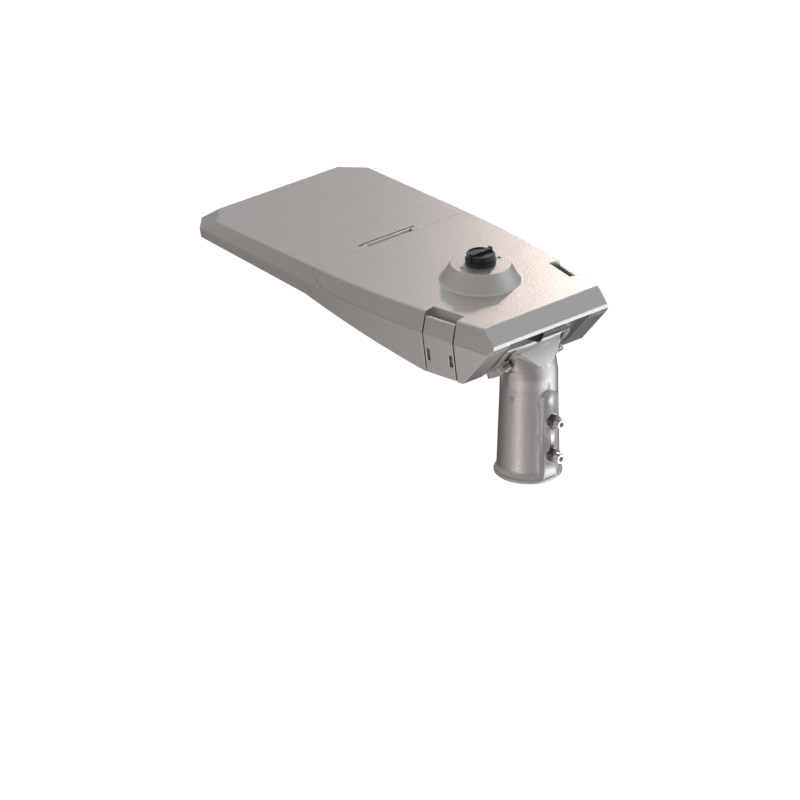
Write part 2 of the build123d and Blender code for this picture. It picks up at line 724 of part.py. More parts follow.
def socket_stem():
    """The round socket with its lip, carried on upwards as the neck."""
    outline = Polyline(
        (0, 0),
        (LIP_R - LIP_BEVEL, 0),
        (LIP_R, LIP_BEVEL),
        (LIP_R, LIP_H - LIP_BEVEL),
        (LIP_R - LIP_BEVEL, LIP_H),
        (SOCKET_FOOT_R, LIP_H),
        (SOCKET_TOP_R, SOCKET_TOP_Z),
        (SOCKET_TOP_R, TOP_Z),
        (0, TOP_Z),
        close=True,
    )
    return revolve(Plane.XZ * make_face(outline), axis=Axis.Z)


def neck_back(angle):
    """A point on the neck's curved back, angle counted up from where it leaves the vertical."""
    turn = math.radians(angle)
    centre_x = NECK_BACK_X + NECK_BACK_R
    return (centre_x - NECK_BACK_R * math.cos(turn), NECK_BACK_Z + NECK_BACK_R * math.sin(turn))


def neck_zone():
    """Side view of all that lies in front of the neck's back."""
    top_a = math.degrees(math.asin((NECK_TOP_Z - NECK_BACK_Z) / NECK_BACK_R))
    far_x = LIP_R * 2
    top = neck_back(top_a)
    edges = [
        Line((-far_x, 0), (-far_x, NECK_BACK_Z)),
        Line((-far_x, NECK_BACK_Z), neck_back(0)),
        ThreePointArc(neck_back(0), neck_back(top_a / 2), top),
        Line(top, (far_x, top[1])),
        Line((far_x, top[1]), (far_x, 0)),
        Line((far_x, 0), (-far_x, 0)),
    ]
    return make_face(Curve() + edges)


def fan_outline():
    """Rear view of the fan that joins neck and flange, with room for each bolt head below its ears."""
    bolt_top = tilt_point(FLANGE_OUT_R, BOLT_ANGLE - TILT_RANGE_ANGLE)[1]
    ear_z = bolt_top + WASHER_R
    half = [
        Line((0, NECK_BACK_Z), (FAN_HALF / 4, NECK_BACK_Z)),
        Line((FAN_HALF / 4, NECK_BACK_Z), (FAN_WAIST, bolt_top)),
        ThreePointArc(
            (FAN_WAIST, bolt_top),
            (BOLT_Y - (BOLT_Y - FAN_WAIST) / SQRT2, bolt_top + WASHER_R / SQRT2),
            (BOLT_Y, ear_z),
        ),
        Line((BOLT_Y, ear_z), (FAN_HALF, ear_z)),
        Line((FAN_HALF, ear_z), (FAN_HALF, TOP_Z)),
        Line((FAN_HALF, TOP_Z), (0, TOP_Z)),
    ]
    other = [mirror(edge, about=Plane.YZ) for edge in half]
    return make_face(Curve() + half + other)


def make_adaptor():
    """The tilting pole-top casting: socket, clamp pad, neck, fan and slotted saddle flange."""
    reach = FLANGE_OUT_R
    zone = prism(neck_zone(), FLANGE_HALF)
    body = socket_stem() & zone
    fan = extrude(Plane.YZ * fan_outline(), amount=reach, both=True) & zone
    fan = fan & prism(tilt_sector(FLANGE_IN_R, reach * 2, FLANGE_TOP_ANGLE, TONGUE_END_ANGLE), FAN_HALF)
    fan = fan & box_between(-reach, TILT_X, -FAN_HALF, FAN_HALF, 0, TOP_Z)
    front = tilt_sector(FLANGE_IN_R, FLANGE_OUT_R + FLANGE_T, BOLT_ANGLE, TONGUE_END_ANGLE)
    front = prism(front, TONGUE_HALF)
    flange = prism(tilt_sector(FLANGE_IN_R, FLANGE_OUT_R, FLANGE_TOP_ANGLE, FLANGE_END_ANGLE), FLANGE_HALF)
    corners = flange.edges().filter_by(lambda edge: abs(edge.length - FLANGE_T) < PIN_FIT)
    flange = fillet(corners, FLANGE_CORNER_R)
    pad = Pos(0, 0, (PAD_TOP_Z - PAD_HALF) / 2) * Box(-PAD_X * 2, PAD_HALF * 2, PAD_TOP_Z - PAD_HALF)
    pad = pad + Pos(PAD_X, 0, PAD_TOP_Z - PAD_HALF) * Rot(0, 90, 0) * rod(PAD_HALF, -PAD_X)
    pad = pad & box_between(PAD_X, 0, -PAD_HALF, PAD_HALF, 0, PAD_TOP_Z)
    rib = box_between(PAD_RIB_X, 0, -PAD_RIB_HALF, PAD_RIB_HALF, SCREW_Z[0], SCREW_Z[1])
    body = (body - tilt_drum(FLANGE_IN_R, FLANGE_HALF)) + flange + front + fan + pad + rib
    for z in SCREW_Z:
        body = body + Pos(PAD_X - BOSS_T, 0, z) * Rot(0, 90, 0) * rod(BOSS_R, BOSS_T * 2)
        body = body - Pos(PAD_X - BOSS_T * 3, 0, z) * Rot(0, 90, 0) * rod(SCREW_R + PIN_FIT, -PAD_X)
        body = body - Pos(PAD_X - BOSS_T * 3, 0, z) * Rot(0, 90, 0) * rod(BOSS_R, BOSS_T * 2)
    for y in (-BOLT_Y, BOLT_Y):
        body = body - bolt_sweep(y, BOLT_R + SLOT_PLAY, FLANGE_IN_R - FLANGE_T, FLANGE_OUT_R + FLANGE_T)
        body = body - bolt_sweep(y, WASHER_R + SLOT_PLAY, FLANGE_OUT_R, FLANGE_OUT_R + WASHER_ROOM)
    body = body - rod(POLE_R + POLE_FIT, SOCKET_DEEP)
    body = body - Pos(0, 0, SOCKET_DEEP) * rod(PASSAGE_R, TOP_Z)
    return body


def bolt_sweep(y, half_w, r0, r1):
    """What a round bar of radius half_w at one tilt bolt sweeps over the whole tilt range."""
    low_a = BOLT_ANGLE - TILT_RANGE_ANGLE
    high_a = BOLT_ANGLE + TILT_RANGE_ANGLE
    sweep = Pos(0, y, 0) * prism(tilt_sector(r0, r1, low_a, high_a), half_w)
    for angle in (low_a, high_a):
        sweep = sweep + tilt_frame(r0, angle, y) * rod(half_w, r1 - r0)
    return sweep


def make_pole_screw(z):
    """One socket-head clamp screw, with its tip flush with the bore."""
    head_x = PAD_X - BOSS_T - NUT_T - SCREW_HEAD_T
    length = -POLE_R - POLE_FIT - head_x
    head = rod(SCREW_HEAD_R, SCREW_HEAD_T)
    head = chamfer(head.edges().sort_by(Axis.Z)[0], HEAD_BEVEL)
    screw = head + rod(SCREW_R, length)
    screw = screw - hexagon(SCREW_KEY_AF, SCREW_KEY_DEEP)
    return Pos(head_x, 0, z) * Rot(0, 90, 0) * screw


def make_pole_nut(z):
    """The lock nut between a clamp screw's head and its boss."""
    nut = hex_head(NUT_AF, NUT_T) - rod(SCREW_R + PIN_FIT, NUT_T)
    return Pos(PAD_X - BOSS_T, 0, z) * Rot(0, -90, 0) * nut


def make_tilt_washer(y):
    """A washer whose inner face is hollowed to run on the curved flange."""
    run_r = FLANGE_OUT_R + CLEAR
    washer = rod(WASHER_R, WASHER_T * 2) - rod(BOLT_R + PIN_FIT, WASHER_T * 2)
    return tilt_frame(run_r - WASHER_T, BOLT_ANGLE, y) * washer - tilt_drum(run_r, WIDE_SIDE_Y)


def make_tilt_bolt(y):
    """A hex-head bolt that passes the flange's slot and holds the head at its tilt."""
    run_r = FLANGE_OUT_R + CLEAR + WASHER_T
    tip_r = SADDLE_R - BOLT_DEEP + CLEAR
    shank = tilt_frame(tip_r, BOLT_ANGLE, y) * rod(BOLT_R, run_r - tip_r + CLEAR)
    return shank + tilt_frame(run_r, BOLT_ANGLE, y) * hex_head(BOLT_AF, BOLT_HEAD_T)


def make_lid_gasket():
    """The seal in the groove of the tub's rim."""
    ring = rim_outline(GASKET_OUTER - PIN_FIT) - rim_outline(GASKET_INNER + PIN_FIT)
    height = GASKET_DEEP + SEAM_GAP - CLEAR
    return extrude(PARTING.offset(-GASKET_DEEP) * ring, amount=height)


def make_hinge_pin():
    """The lid's hinge pin."""
    return Pos(HINGE_X, HINGE_PIN_HALF, HINGE_Z) * Rot(90, 0, 0) * rod(HINGE_PIN_R, HINGE_PIN_HALF * 2)


def make_latch_pin():
    """The pivot pin of the +Y latch."""
    past = LATCH_GAP + LATCH_PIN_PAST - CLEAR
    return latch_rod(LATCH_PIN_R, -LATCH_L - past, past)


def at_pedestal(z, shape):
    """Places a shape on the pedestal's axis, z above its top."""
    return Pos(PED_X, 0, PED_TOP_Z + z) * shape


def make_receptacle():
    """The control receptacle: flange, body through the pedestal and a rim with contact slots."""
    body = at_pedestal(SEAL_T, rod(RECEPT_FLANGE_R, RECEPT_FLANGE_T))
    body = body + at_pedestal(SEAL_T - RECEPT_DEEP, rod(RECEPT_BODY_R, RECEPT_DEEP))
    body = body + at_pedestal(SEAL_T + RECEPT_FLANGE_T, rod(RECEPT_RIM_R, RECEPT_RIM_H))
    well = at_pedestal(SEAL_T + RECEPT_FLANGE_T + CAP_T, rod(RECEPT_RIM_R - CAP_T, RECEPT_RIM_H))
    body = body - well
    base_z = SEAL_T + RECEPT_FLANGE_T + CAP_T - RECEPT_RIM_H
    for turn in QUARTER_TURNS:
        spot = Rot(0, 0, turn + CONTACT_TURN) * Pos(RECEPT_RIM_R / 2, 0, base_z)
        body = body - Pos(PED_X, 0, PED_TOP_Z) * spot * Box(CONTACT_W, CONTACT_T, RECEPT_RIM_H * 2)
    return body


def make_contacts():
    """The spring contacts in the receptacle's slots."""
    base_z = SEAL_T + RECEPT_FLANGE_T + CAP_T - RECEPT_RIM_H
    leaf = Box(CONTACT_W - CLEAR, CONTACT_T - CLEAR, RECEPT_RIM_H)
    group = []
    for turn in QUARTER_TURNS:
        spot = Rot(0, 0, turn + CONTACT_TURN) * Pos(RECEPT_RIM_R / 2, 0, base_z - RECEPT_RIM_H / 2)
        group.append(Pos(PED_X, 0, PED_TOP_Z) * spot * leaf)
    return group


def make_receptacle_seal():
    """The flat ring under the receptacle's flange."""
    return at_pedestal(0, rod(RECEPT_FLANGE_R, SEAL_T) - rod(RECEPT_BODY_R + PIN_FIT, SEAL_T))


def make_receptacle_nut():
    """The lock nut that clamps the receptacle from inside the pedestal."""
    nut = hexagon(LOCKNUT_AF, LOCKNUT_T) - rod(RECEPT_BODY_R + PIN_FIT, LOCKNUT_T)
    return at_pedestal(-PED_T - LOCKNUT_T, nut)


def make_cap():
    """The twist-lock cap: skirt, body with a bevelled top, grip bar, centre knob and end tab."""
    foot_z = SEAL_T + RECEPT_FLANGE_T + CLEAR
    floor_z = CAP_H - CAP_DISH
    shell = rod(CAP_SKIRT_R, CAP_SKIRT_H) + rod(CAP_R, CAP_H)
    rim = shell.faces().sort_by(Axis.Z)[-1].edges()
    shell = chamfer(rim, CAP_BEVEL) - Pos(0, 0, floor_z) * rod(CAP_R - CAP_T, CAP_DISH)
    reach = CAP_R - CAP_BEVEL
    half_w = CAP_BAR_W / 2
    bar = box_between(-half_w, half_w, -reach, reach, floor_z, floor_z + CAP_BAR_H)
    bar = chamfer(bar.faces().sort_by(Axis.Z)[-1].edges(), CAP_BAR_BEVEL)
    knob = Pos(0, 0, floor_z) * rod(CAP_KNOB_R, CAP_BAR_H)
    horn = make_face(
        Polyline((-reach, floor_z), (-reach, CAP_H + CAP_BAR_H), (CAP_HORN_L - reach, floor_z), close=True)
    )
    horn = extrude(Plane.YZ * horn, amount=half_w, both=True)
    tab = box_between(-half_w, half_w, CAP_R - CAP_BAR_END / 2, CAP_R + CAP_BAR_END / 2, 0, CAP_H)
    hollow = rod(RECEPT_RIM_R + CLEAR * 2, CAP_H - CAP_T * 2)
    return at_pedestal(foot_z, (shell + bar + knob + horn + tab) - hollow)


def small_screw():
    """A pan-head screw whose head stands on z = 0."""
    return peg(SMALL_HEAD_R, SMALL_HEAD_T) + Pos(0, 0, -SMALL_SCREW_L) * peg(SMALL_SCREW_R, SMALL_SCREW_L)


def pedestal_screw_places():
    """The places of the two screws beside the cap."""
    out = Pos(0, PED_SCREW_OUT, 0)
    return [Pos(PED_X, 0, 0) * Rot(0, 0, turn - PED_SCREW_TURN) * out for turn in QUARTER_TURNS[::2]]


def make_pedestal_screws():
    """The two small pan-head screws beside the cap."""
    return [place * Pos(0, 0, PED_TOP_Z) * small_screw() for place in pedestal_screw_places()]


def make_glass_frame():
    """The cast frame that closes the light compartment and carries the glass."""
    ring = light_outline(FRAME_INSET + CLEAR) - light_outline(FRAME_INSET + FRAME_WIDTH)
    frame = under_plate(ring, FRAME_SINK, FRAME_SINK + FRAME_T)
    for x, y in frame_screw_spots():
        hole = UNDER * Pos(x, y, 0)
        frame = frame - hole * peg_hole(FRAME_SCREW_R + PIN_FIT, FRAME_SINK + FRAME_T)
        sink = peg_cone(FRAME_SCREW_R * 2, FRAME_SCREW_R, FRAME_SCREW_R)
        frame = frame - hole * Pos(0, 0, FRAME_SINK) * sink
    return frame


def make_frame_screws():
    """The countersunk screws of the glass frame."""
    head = peg_cone(FRAME_SCREW_R * 2, FRAME_SCREW_R, FRAME_SCREW_R)
    screw = head + peg(FRAME_SCREW_R, FRAME_SCREW_L)
    return [UNDER * Pos(x, y, FRAME_SINK) * screw for x, y in frame_screw_spots()]


def make_frame_seal():
    """The seal between glass frame and housing, inside the screw pillars' line."""
    low = FRAME_SINK + FRAME_T
    ring = light_outline(FRAME_INSET + CLEAR) - light_outline(LIGHT_WALL - CLEAR)
    seal = under_plate(ring, low, low + SEAL_H)
    for x, y in frame_screw_spots():
        seal = seal - UNDER * Pos(x, y, low) * rod(PILLAR_R + CLEAR, SEAL_H)
    return seal


def make_glass():
    """The flat tempered glass, laid on the frame's inner edge."""
    low = FRAME_SINK + FRAME_T + SEAL_H
    return under_plate(light_outline(FRAME_INSET + FRAME_WIDTH - GLASS_LAP), low, low + GLASS_T)


def make_glass_seal():
    """The flat seal between glass and frame."""
    low = FRAME_SINK + FRAME_T
    inner = FRAME_INSET + FRAME_WIDTH
    ring = light_outline(inner - GLASS_LAP) - light_outline(inner - GLASS_LAP + SEAL_W)
    return under_plate(ring, low, low + SEAL_H)


def make_glass_clips():
    """Spring clips, screwed to the frame, that press the glass down on its seal."""
    rise = SEAL_H + GLASS_T
    edge = FRAME_INSET + FRAME_WIDTH - GLASS_LAP
    outline = make_face(
        Polyline(
            (-CLIP_LAP, rise + CLIP_T),
            (CLIP_T + CLEAR, rise + CLIP_T),
            (CLIP_T + CLEAR, CLIP_T),
            (CLIP_FOOT, CLIP_T),
            (CLIP_FOOT, 0),
            (CLEAR, 0),
            (CLEAR, rise),
            (-CLIP_LAP, rise),
            close=True,
        )
    )
    clip = extrude(Plane.XZ * outline, amount=CLIP_W / 2, both=True)
    side = WIDE_SIDE_Y - edge
    level = FRAME_SINK + FRAME_T
    group = []
    for x in (BOARD_X - CLIP_APART, BOARD_X + CLIP_APART):
        group.append(UNDER * Pos(x, side, level) * Rot(0, 0, 90) * clip)
        group.append(UNDER * Pos(x, -side, level) * Rot(0, 0, -90) * clip)
    for y in (-BOARD_Y, BOARD_Y):
        group.append(UNDER * Pos(WIDE_FRONT_X - edge, y, level) * clip)
        group.append(UNDER * Pos(LIGHT_REAR_X + edge - FRAME_INSET, y, level) * Rot(0, 0, 180) * clip)
    return group


def lens_spots():
    """Centres of one board's lenses."""
    steps = [i - (LENS_COUNT - 1) / 2 for i in range(LENS_COUNT)]
    pitch_x = (BOARD_L - LENS_MARGIN * 2) / LENS_COUNT
    pitch_y = (BOARD_W - LENS_MARGIN * 2) / LENS_COUNT
    return [(BOARD_X + i * pitch_x, j * pitch_y) for i in steps for j in steps]


def make_board(y):
    """One light board on its plateau."""
    top = TOP_Z - LIGHT_ROOF - PLATEAU_T
    board = Pos(BOARD_X, y, top - BOARD_T / 2) * Box(BOARD_L - CLEAR, BOARD_W - CLEAR, BOARD_T)
    return board - lens_screw_holes(y)


def make_chips(y):
    """The light sources of one board."""
    top = TOP_Z - LIGHT_ROOF - PLATEAU_T - BOARD_T
    return [Pos(x, y + dy, top - CHIP_T / 2) * Box(CHIP, CHIP, CHIP_T) for x, dy in lens_spots()]


def make_lens_plate(y):
    """One moulded lens plate: a sheet with a dome over each light source and a recess behind it."""
    top = TOP_Z - LIGHT_ROOF - PLATEAU_T - BOARD_T
    plate = Pos(BOARD_X, y, top - LENS_BASE_T / 2) * Box(
        BOARD_L - LENS_MARGIN * 2, BOARD_W - LENS_MARGIN * 2, LENS_BASE_T
    )
    waist = Pos(0, 0, LENS_H / 2)
    dome = peg_cone(LENS_R, LENS_WAIST_R, LENS_H / 2) + waist * peg_cone(LENS_WAIST_R, LENS_TIP_R, LENS_H / 2)
    dome = Rot(180, 0, 0) * dome
    for x, dy in lens_spots():
        plate = plate + Pos(x, y + dy, top - LENS_BASE_T) * dome
        plate = plate - Pos(x, y + dy, top - CHIP_T) * Box(POCKET, POCKET, CHIP_T * 2)
    return plate - lens_screw_holes(y)


def lens_screw_spots():
    """Corner places of a lens plate's screws, from the middle of the board."""
    x = BOARD_L / 2 - LENS_MARGIN - LENS_SCREW_IN
    y = BOARD_W / 2 - LENS_MARGIN - LENS_SCREW_IN
    return [(sx * x, sy * y) for sx in (-1, 1) for sy in (-1, 1)]


def make_lens_screws(y):
    """The screws that hold one lens plate and its board to the housing."""
    level = TOP_Z - LIGHT_ROOF - PLATEAU_T - BOARD_T - LENS_BASE_T
    screw = Rot(180, 0, 0) * small_screw()
    return [Pos(BOARD_X + dx, y + dy, level) * screw for dx, dy in lens_screw_spots()]


def lens_screw_holes(y):
    """The clearance holes for one lens plate's screws."""
    level = TOP_Z - LIGHT_ROOF - PLATEAU_T - BOARD_T - LENS_BASE_T
    hole = peg_hole(SMALL_SCREW_R + PIN_FIT, SMALL_SCREW_L + CLEAR)
    return [Pos(BOARD_X + dx, y + dy, level) * hole for dx, dy in lens_screw_spots()]


def make_tray():
    """The folded gear tray, with lips turned up on its long edges."""
    tray = box_between(TRAY_X0, TRAY_X1, -TRAY_HALF, TRAY_HALF, TRAY_Z, TRAY_Z + TRAY_T)
    for x in (TRAY_X0, TRAY_X1 - TRAY_T):
        tray = tray + box_between(x, x + TRAY_T, -TRAY_HALF, TRAY_HALF, TRAY_Z, TRAY_Z + TRAY_LIP)
    for x, y in tray_spots():
        tray = tray - Pos(x, y, TRAY_Z) * peg_hole(SMALL_SCREW_R + PIN_FIT, TRAY_T)
    for y in driver_screw_ys():
        tray = tray - Pos(DRIVER_X, y, TRAY_Z) * peg_hole(SMALL_SCREW_R + PIN_FIT, TRAY_T)
    return tray


def tray_spots():
    """Where the tray is screwed to its posts."""
    xs = (TRAY_X0 + TRAY_HOLE_IN, TRAY_X1 - TRAY_HOLE_IN)
    ys = (-TRAY_HALF + TRAY_HOLE_IN, TRAY_HALF - TRAY_HOLE_IN)
    return [(x, y) for x in xs for y in ys]


def make_tray_screws():
    """The four screws that hold the tray."""
    return [Pos(x, y, TRAY_Z + TRAY_T) * small_screw() for x, y in tray_spots()]


def make_driver():
    """The potted driver: a rounded case with flanged ends."""
    base = TRAY_Z + TRAY_T
    case = box_between(
        DRIVER_X - DRIVER_W / 2, DRIVER_X + DRIVER_W / 2, -DRIVER_L / 2, DRIVER_L / 2, base, base + DRIVER_H
    )
    case = fillet(case.edges().filter_by(Axis.Y).sort_by(Axis.Z)[-2:], DRIVER_CORNER_R)
    foot = box_between(
        DRIVER_X - DRIVER_FOOT_W / 2,
        DRIVER_X + DRIVER_FOOT_W / 2,
        -DRIVER_L / 2 - DRIVER_FOOT,
        DRIVER_L / 2 + DRIVER_FOOT,
        base,
        base + DRIVER_FOOT_T,
    )
    for y in driver_screw_ys():
        foot = foot - Pos(DRIVER_X, y, base) * peg_hole(SMALL_SCREW_R + PIN_FIT, DRIVER_FOOT_T)
    return case + foot


def driver_screw_ys():
    """Where the driver's feet are screwed down, across the head."""
    return (-DRIVER_L / 2 - DRIVER_FOOT / 2, DRIVER_L / 2 + DRIVER_FOOT / 2)


def make_driver_screws():
    """The two screws through the driver's feet."""
    level = TRAY_Z + TRAY_T + DRIVER_FOOT_T
    return [Pos(DRIVER_X, y, level) * small_screw() for y in driver_screw_ys()]


def floor_block_place(width):
    """Where a block of that width stands in front of the saddle wall: its rear X and its foot's Z."""
    floor_z = TUB_Z + FLOOR_T
    foot_x = TILT_X - math.sqrt((SADDLE_R - SADDLE_WALL) ** 2 - (TILT_Z - floor_z) ** 2)
    x0 = foot_x + GEAR_GAP
    return x0, max(floor_z, ramp_z(x0 + width) + FLOOR_T + GEAR_GAP)


def floor_block(length, width, height, y):
    """A block in the tub, in front of the saddle wall's foot."""
    x0, base = floor_block_place(width)
    return box_between(x0, x0 + width, y - length / 2, y + length / 2, base, base + height)


def floor_pads():
    """The metal under the blocks, from the tub's floor up to their feet."""
    pads = []
    for length, width, y in ((SPD_L, SPD_W, SPD_Y), (BLOCK_L, BLOCK_W, BLOCK_Y)):
        x0, base = floor_block_place(width)
        pads.append(box_between(x0, x0 + width, y - length / 2, y + length / 2, TUB_Z + FLOOR_T / 2, base))
    return pads


def make_surge_protector():
    """The surge protector on the tub's floor."""
    block = floor_block(SPD_L, SPD_W, SPD_H, SPD_Y)
    return fillet(block.edges().filter_by(Axis.Z), DRIVER_CORNER_R)


def make_terminal_block():
    """The three-pole terminal block, with its screw wells and wire entries."""
    block = floor_block(BLOCK_L, BLOCK_W, BLOCK_H, BLOCK_Y)
    centre = block.center()
    pole = BLOCK_L / BLOCK_POLES
    for i in range(BLOCK_POLES):
        y = BLOCK_Y + pole * (i - (BLOCK_POLES - 1) / 2)
        entry = Rot(0, 90, 0) * Pos(0, 0, -BLOCK_W) * rod(BLOCK_WIRE_R, BLOCK_W * 2)
        block = block - Pos(centre.X, y, centre.Z) * entry
        block = block - Pos(centre.X, y, centre.Z) * rod(BLOCK_SCREW_R, BLOCK_H)
    return block


def make_gland():
    """The cable gland on the saddle wall, inside the tub, with its axis on the saddle's radius."""
    wall = tilt_frame(SADDLE_R - SADDLE_WALL, BOLT_ANGLE)
    body = wall * rod(GLAND_R, GLAND_THREAD_L)
    body = body + wall * Pos(0, 0, -GLAND_HEX_T) * hexagon(GLAND_AF, GLAND_HEX_T)
    dome = standing_cone(GLAND_TIP_R, GLAND_DOME_R, GLAND_DOME_T)
    body = body + wall * Pos(0, 0, -GLAND_HEX_T - GLAND_DOME_T) * dome
    depth = GLAND_HEX_T + GLAND_DOME_T
    return body - wall * Pos(0, 0, -depth) * rod(GLAND_HOLE_R, depth + SADDLE_WALL * 2)


def pair(make, *places):
    """The solids of two like fasteners."""
    return [make(place) for place in places]


def save(name, shape):
    """Writes one piece, or a group of like pieces, to its own file."""
    if isinstance(shape, list):
        shape = Compound(children=[solid for item in shape for solid in item.solids()])
    export_step(shape, f"parts/{name}.step")


latch = make_latch()
latch_pin = make_latch_pin()
pieces = {
    "adaptor_casting": make_adaptor(),
    "pole_screws": pair(make_pole_screw, *SCREW_Z),
    "pole_lock_nuts": pair(make_pole_nut, *SCREW_Z),
    "housing": make_housing(),
    "tilt_bolts": pair(make_tilt_bolt, -BOLT_Y, BOLT_Y),
    "tilt_washers": pair(make_tilt_washer, -BOLT_Y, BOLT_Y),
    "lid": make_lid(),
    "lid_gasket": make_lid_gasket(),
    "hinge_pin": make_hinge_pin(),
    "latch_left": latch,
    "latch_right": mirrored(latch),
    "latch_pins": [latch_pin, mirrored(latch_pin)],
    "receptacle": make_receptacle(),
    "receptacle_contacts": make_contacts(),
    "receptacle_seal": make_receptacle_seal(),
    "receptacle_nut": make_receptacle_nut(),
    "receptacle_cap": make_cap(),
    "pedestal_screws": make_pedestal_screws(),
    "glass_frame": make_glass_frame(),
    "frame_screws": make_frame_screws(),
    "frame_seal": make_frame_seal(),
    "glass": make_glass(),
    "glass_seal": make_glass_seal(),
    "glass_clips": make_glass_clips(),
    "gear_tray": make_tray(),
    "tray_screws": make_tray_screws(),
    "driver": make_driver(),
    "surge_protector": make_surge_protector(),
    "terminal_block": make_terminal_block(),
    "driver_screws": make_driver_screws(),
    "cable_gland": make_gland(),
}
for side, y in (("left", BOARD_Y), ("right", -BOARD_Y)):
    pieces[f"light_board_{side}"] = make_board(y)
    pieces[f"light_chips_{side}"] = make_chips(y)
    pieces[f"lens_plate_{side}"] = make_lens_plate(y)
    pieces[f"lens_screws_{side}"] = make_lens_screws(y)

for name, shape in pieces.items():
    save(name, shape)
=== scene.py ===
import math

import bmesh
import bpy
from bpy.props import FloatProperty, FloatVectorProperty, PointerProperty
from mathutils import Matrix, Vector


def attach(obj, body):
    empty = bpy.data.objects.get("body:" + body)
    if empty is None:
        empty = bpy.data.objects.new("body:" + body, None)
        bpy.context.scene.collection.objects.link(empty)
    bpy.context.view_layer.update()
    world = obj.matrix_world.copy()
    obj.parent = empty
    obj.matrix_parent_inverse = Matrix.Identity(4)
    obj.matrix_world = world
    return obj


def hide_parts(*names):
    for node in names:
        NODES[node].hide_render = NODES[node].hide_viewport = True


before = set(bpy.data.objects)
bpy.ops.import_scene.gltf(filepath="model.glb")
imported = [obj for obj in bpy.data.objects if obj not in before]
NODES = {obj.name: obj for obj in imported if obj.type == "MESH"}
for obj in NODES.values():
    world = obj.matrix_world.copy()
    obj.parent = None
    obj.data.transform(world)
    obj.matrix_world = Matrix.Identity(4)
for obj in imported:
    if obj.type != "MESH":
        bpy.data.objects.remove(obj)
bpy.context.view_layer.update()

bl_info = {
    "name": "Street light head",
    "version": (1, 0, 0),
    "blender": (4, 5, 0),
    "location": "3D View > Sidebar > Street Light",
    "description": "Finishes and fine metalwork for an LED street light head",
    "category": "Object",
}

# points round every turned or hexagonal section, a full turn, and a length that counts as none
SIDES = 48
TURN = 2 * math.pi
TINY = 1e-6

# edges of the pieces made here are sharp above this angle
SHARP_ANGLE = math.radians(34)

# nodes by finish
CASTINGS = ("adaptor_casting", "housing", "lid", "latch_left", "latch_right", "glass_frame")
SEALS = ("lid_gasket", "frame_seal", "glass_seal", "receptacle_seal")
PINS = ("hinge_pin", "latch_pins", "glass_clips", "tilt_washers")
BOARDS = ("light_board_left", "light_board_right")
CHIPS = ("light_chips_left", "light_chips_right")
LENSES = ("lens_plate_left", "lens_plate_right")

# the ways that small screws face; the glass frame slopes a little
DOWN = Vector((0, 0, -1))
UP = Vector((0, 0, 1))
UNDER = Vector((0.0546, 0, -0.9985)).normalized()

# the small screws by node: the piece made of them, the way their heads face, and their body
SMALL_SCREWS = {
    "pedestal_screws": ("cover_screw_heads", UP, "lid"),
    "tray_screws": ("tray_screw_heads", UP, "housing"),
    "driver_screws": ("driver_screw_heads", UP, "housing"),
    "frame_screws": ("frame_screw_heads", UNDER, "housing"),
    "lens_screws_left": ("left_lens_screw_heads", DOWN, "housing"),
    "lens_screws_right": ("right_lens_screw_heads", DOWN, "housing"),
}


# Node groups

# the cells that hold a bright or a dark flake, by a random value
BRIGHT_CELLS = (0.80, 1.0)
DARK_CELLS = (0.72, 1.0)

# noise values where clouds, breaks in the edge mask and dust start and where they are full
CLOUD_SPAN = (0.35, 0.7)
EDGE_BREAK_SPAN = (0.25, 0.6)
DUST_SPAN = (0.4, 0.75)

# the cosine between flat and rounded normal where the edge mask starts and where it is full: rubbed wear on
# metal parts, a painted highlight on the coat
EDGE_WEAR_AND_HIGHLIGHT_SPAN = (0.995, 0.80)

# the share of open space round a point where the painted crevice shade starts to darken and where it is
# dark
CREVICE_SHADE_SPAN = (0.62, 0.12)

# the slow swell's scale as a share of the fine peel's
SWELL_SCALE = 0.06


def effect(name, inputs, *outputs):
    """An empty shared effect with its named sockets; gives its tree, what goes in, and its exit."""
    tree = bpy.data.node_groups.new(name, "ShaderNodeTree")
    for label, value in inputs.items():
        kind = "NodeSocketColor" if isinstance(value, tuple) else "NodeSocketFloat"
        socket = tree.interface.new_socket(name=label, in_out="INPUT", socket_type=kind)
        socket.default_value = value
    for label in outputs:
        kind = "NodeSocketColor" if label == "Color" else "NodeSocketFloat"
        tree.interface.new_socket(name=label, in_out="OUTPUT", socket_type=kind)
    return tree, tree.nodes.new("NodeGroupInput").outputs, tree.nodes.new("NodeGroupOutput")


def give(tree, node, inputs):
    """Sets a node's inputs, each to a plain value or to another node's output."""
    for key, value in inputs.items():
        if isinstance(value, bpy.types.NodeSocket):
            tree.links.new(value, node.inputs[key])
        else:
            node.inputs[key].default_value = value
    return node


def put(tree, kind, inputs=None, **settings):
    """A node with its settings and its inputs."""
    node = tree.nodes.new(kind)
    for key, value in settings.items():
        setattr(node, key, value)
    return give(tree, node, inputs or {})


def maths(tree, operation, first, second):
    """One sum on two values."""
    return put(tree, "ShaderNodeMath", {0: first, 1: second}, operation=operation).outputs[0]


def cosine(tree, first, second):
    """The cosine of the angle between two directions."""
    inputs = {0: first, 1: second}
    return put(tree, "ShaderNodeVectorMath", inputs, operation="DOT_PRODUCT").outputs["Value"]


def blended(tree, factor, first, second, kind="MIX"):
    """One colour mixed into another."""
    inputs = {0: factor, 6: first, 7: second}
    settings = {"data_type": "RGBA", "blend_type": kind, "clamp_factor": True}
    return put(tree, "ShaderNodeMix", inputs, **settings).outputs[2]


def spread(tree, value, low, high, to_low=0.0, to_high=1.0):
    """A value stretched from one span to another and held inside it."""
    inputs = {"Value": value, "From Min": low, "From Max": high, "To Min": to_low, "To Max": to_high}
    return put(tree, "ShaderNodeMapRange", inputs).outputs["Result"]


def object_place(tree):
    """A place on the piece, which stays the same when the piece moves."""
    return put(tree, "ShaderNodeTexCoord").outputs["Object"]


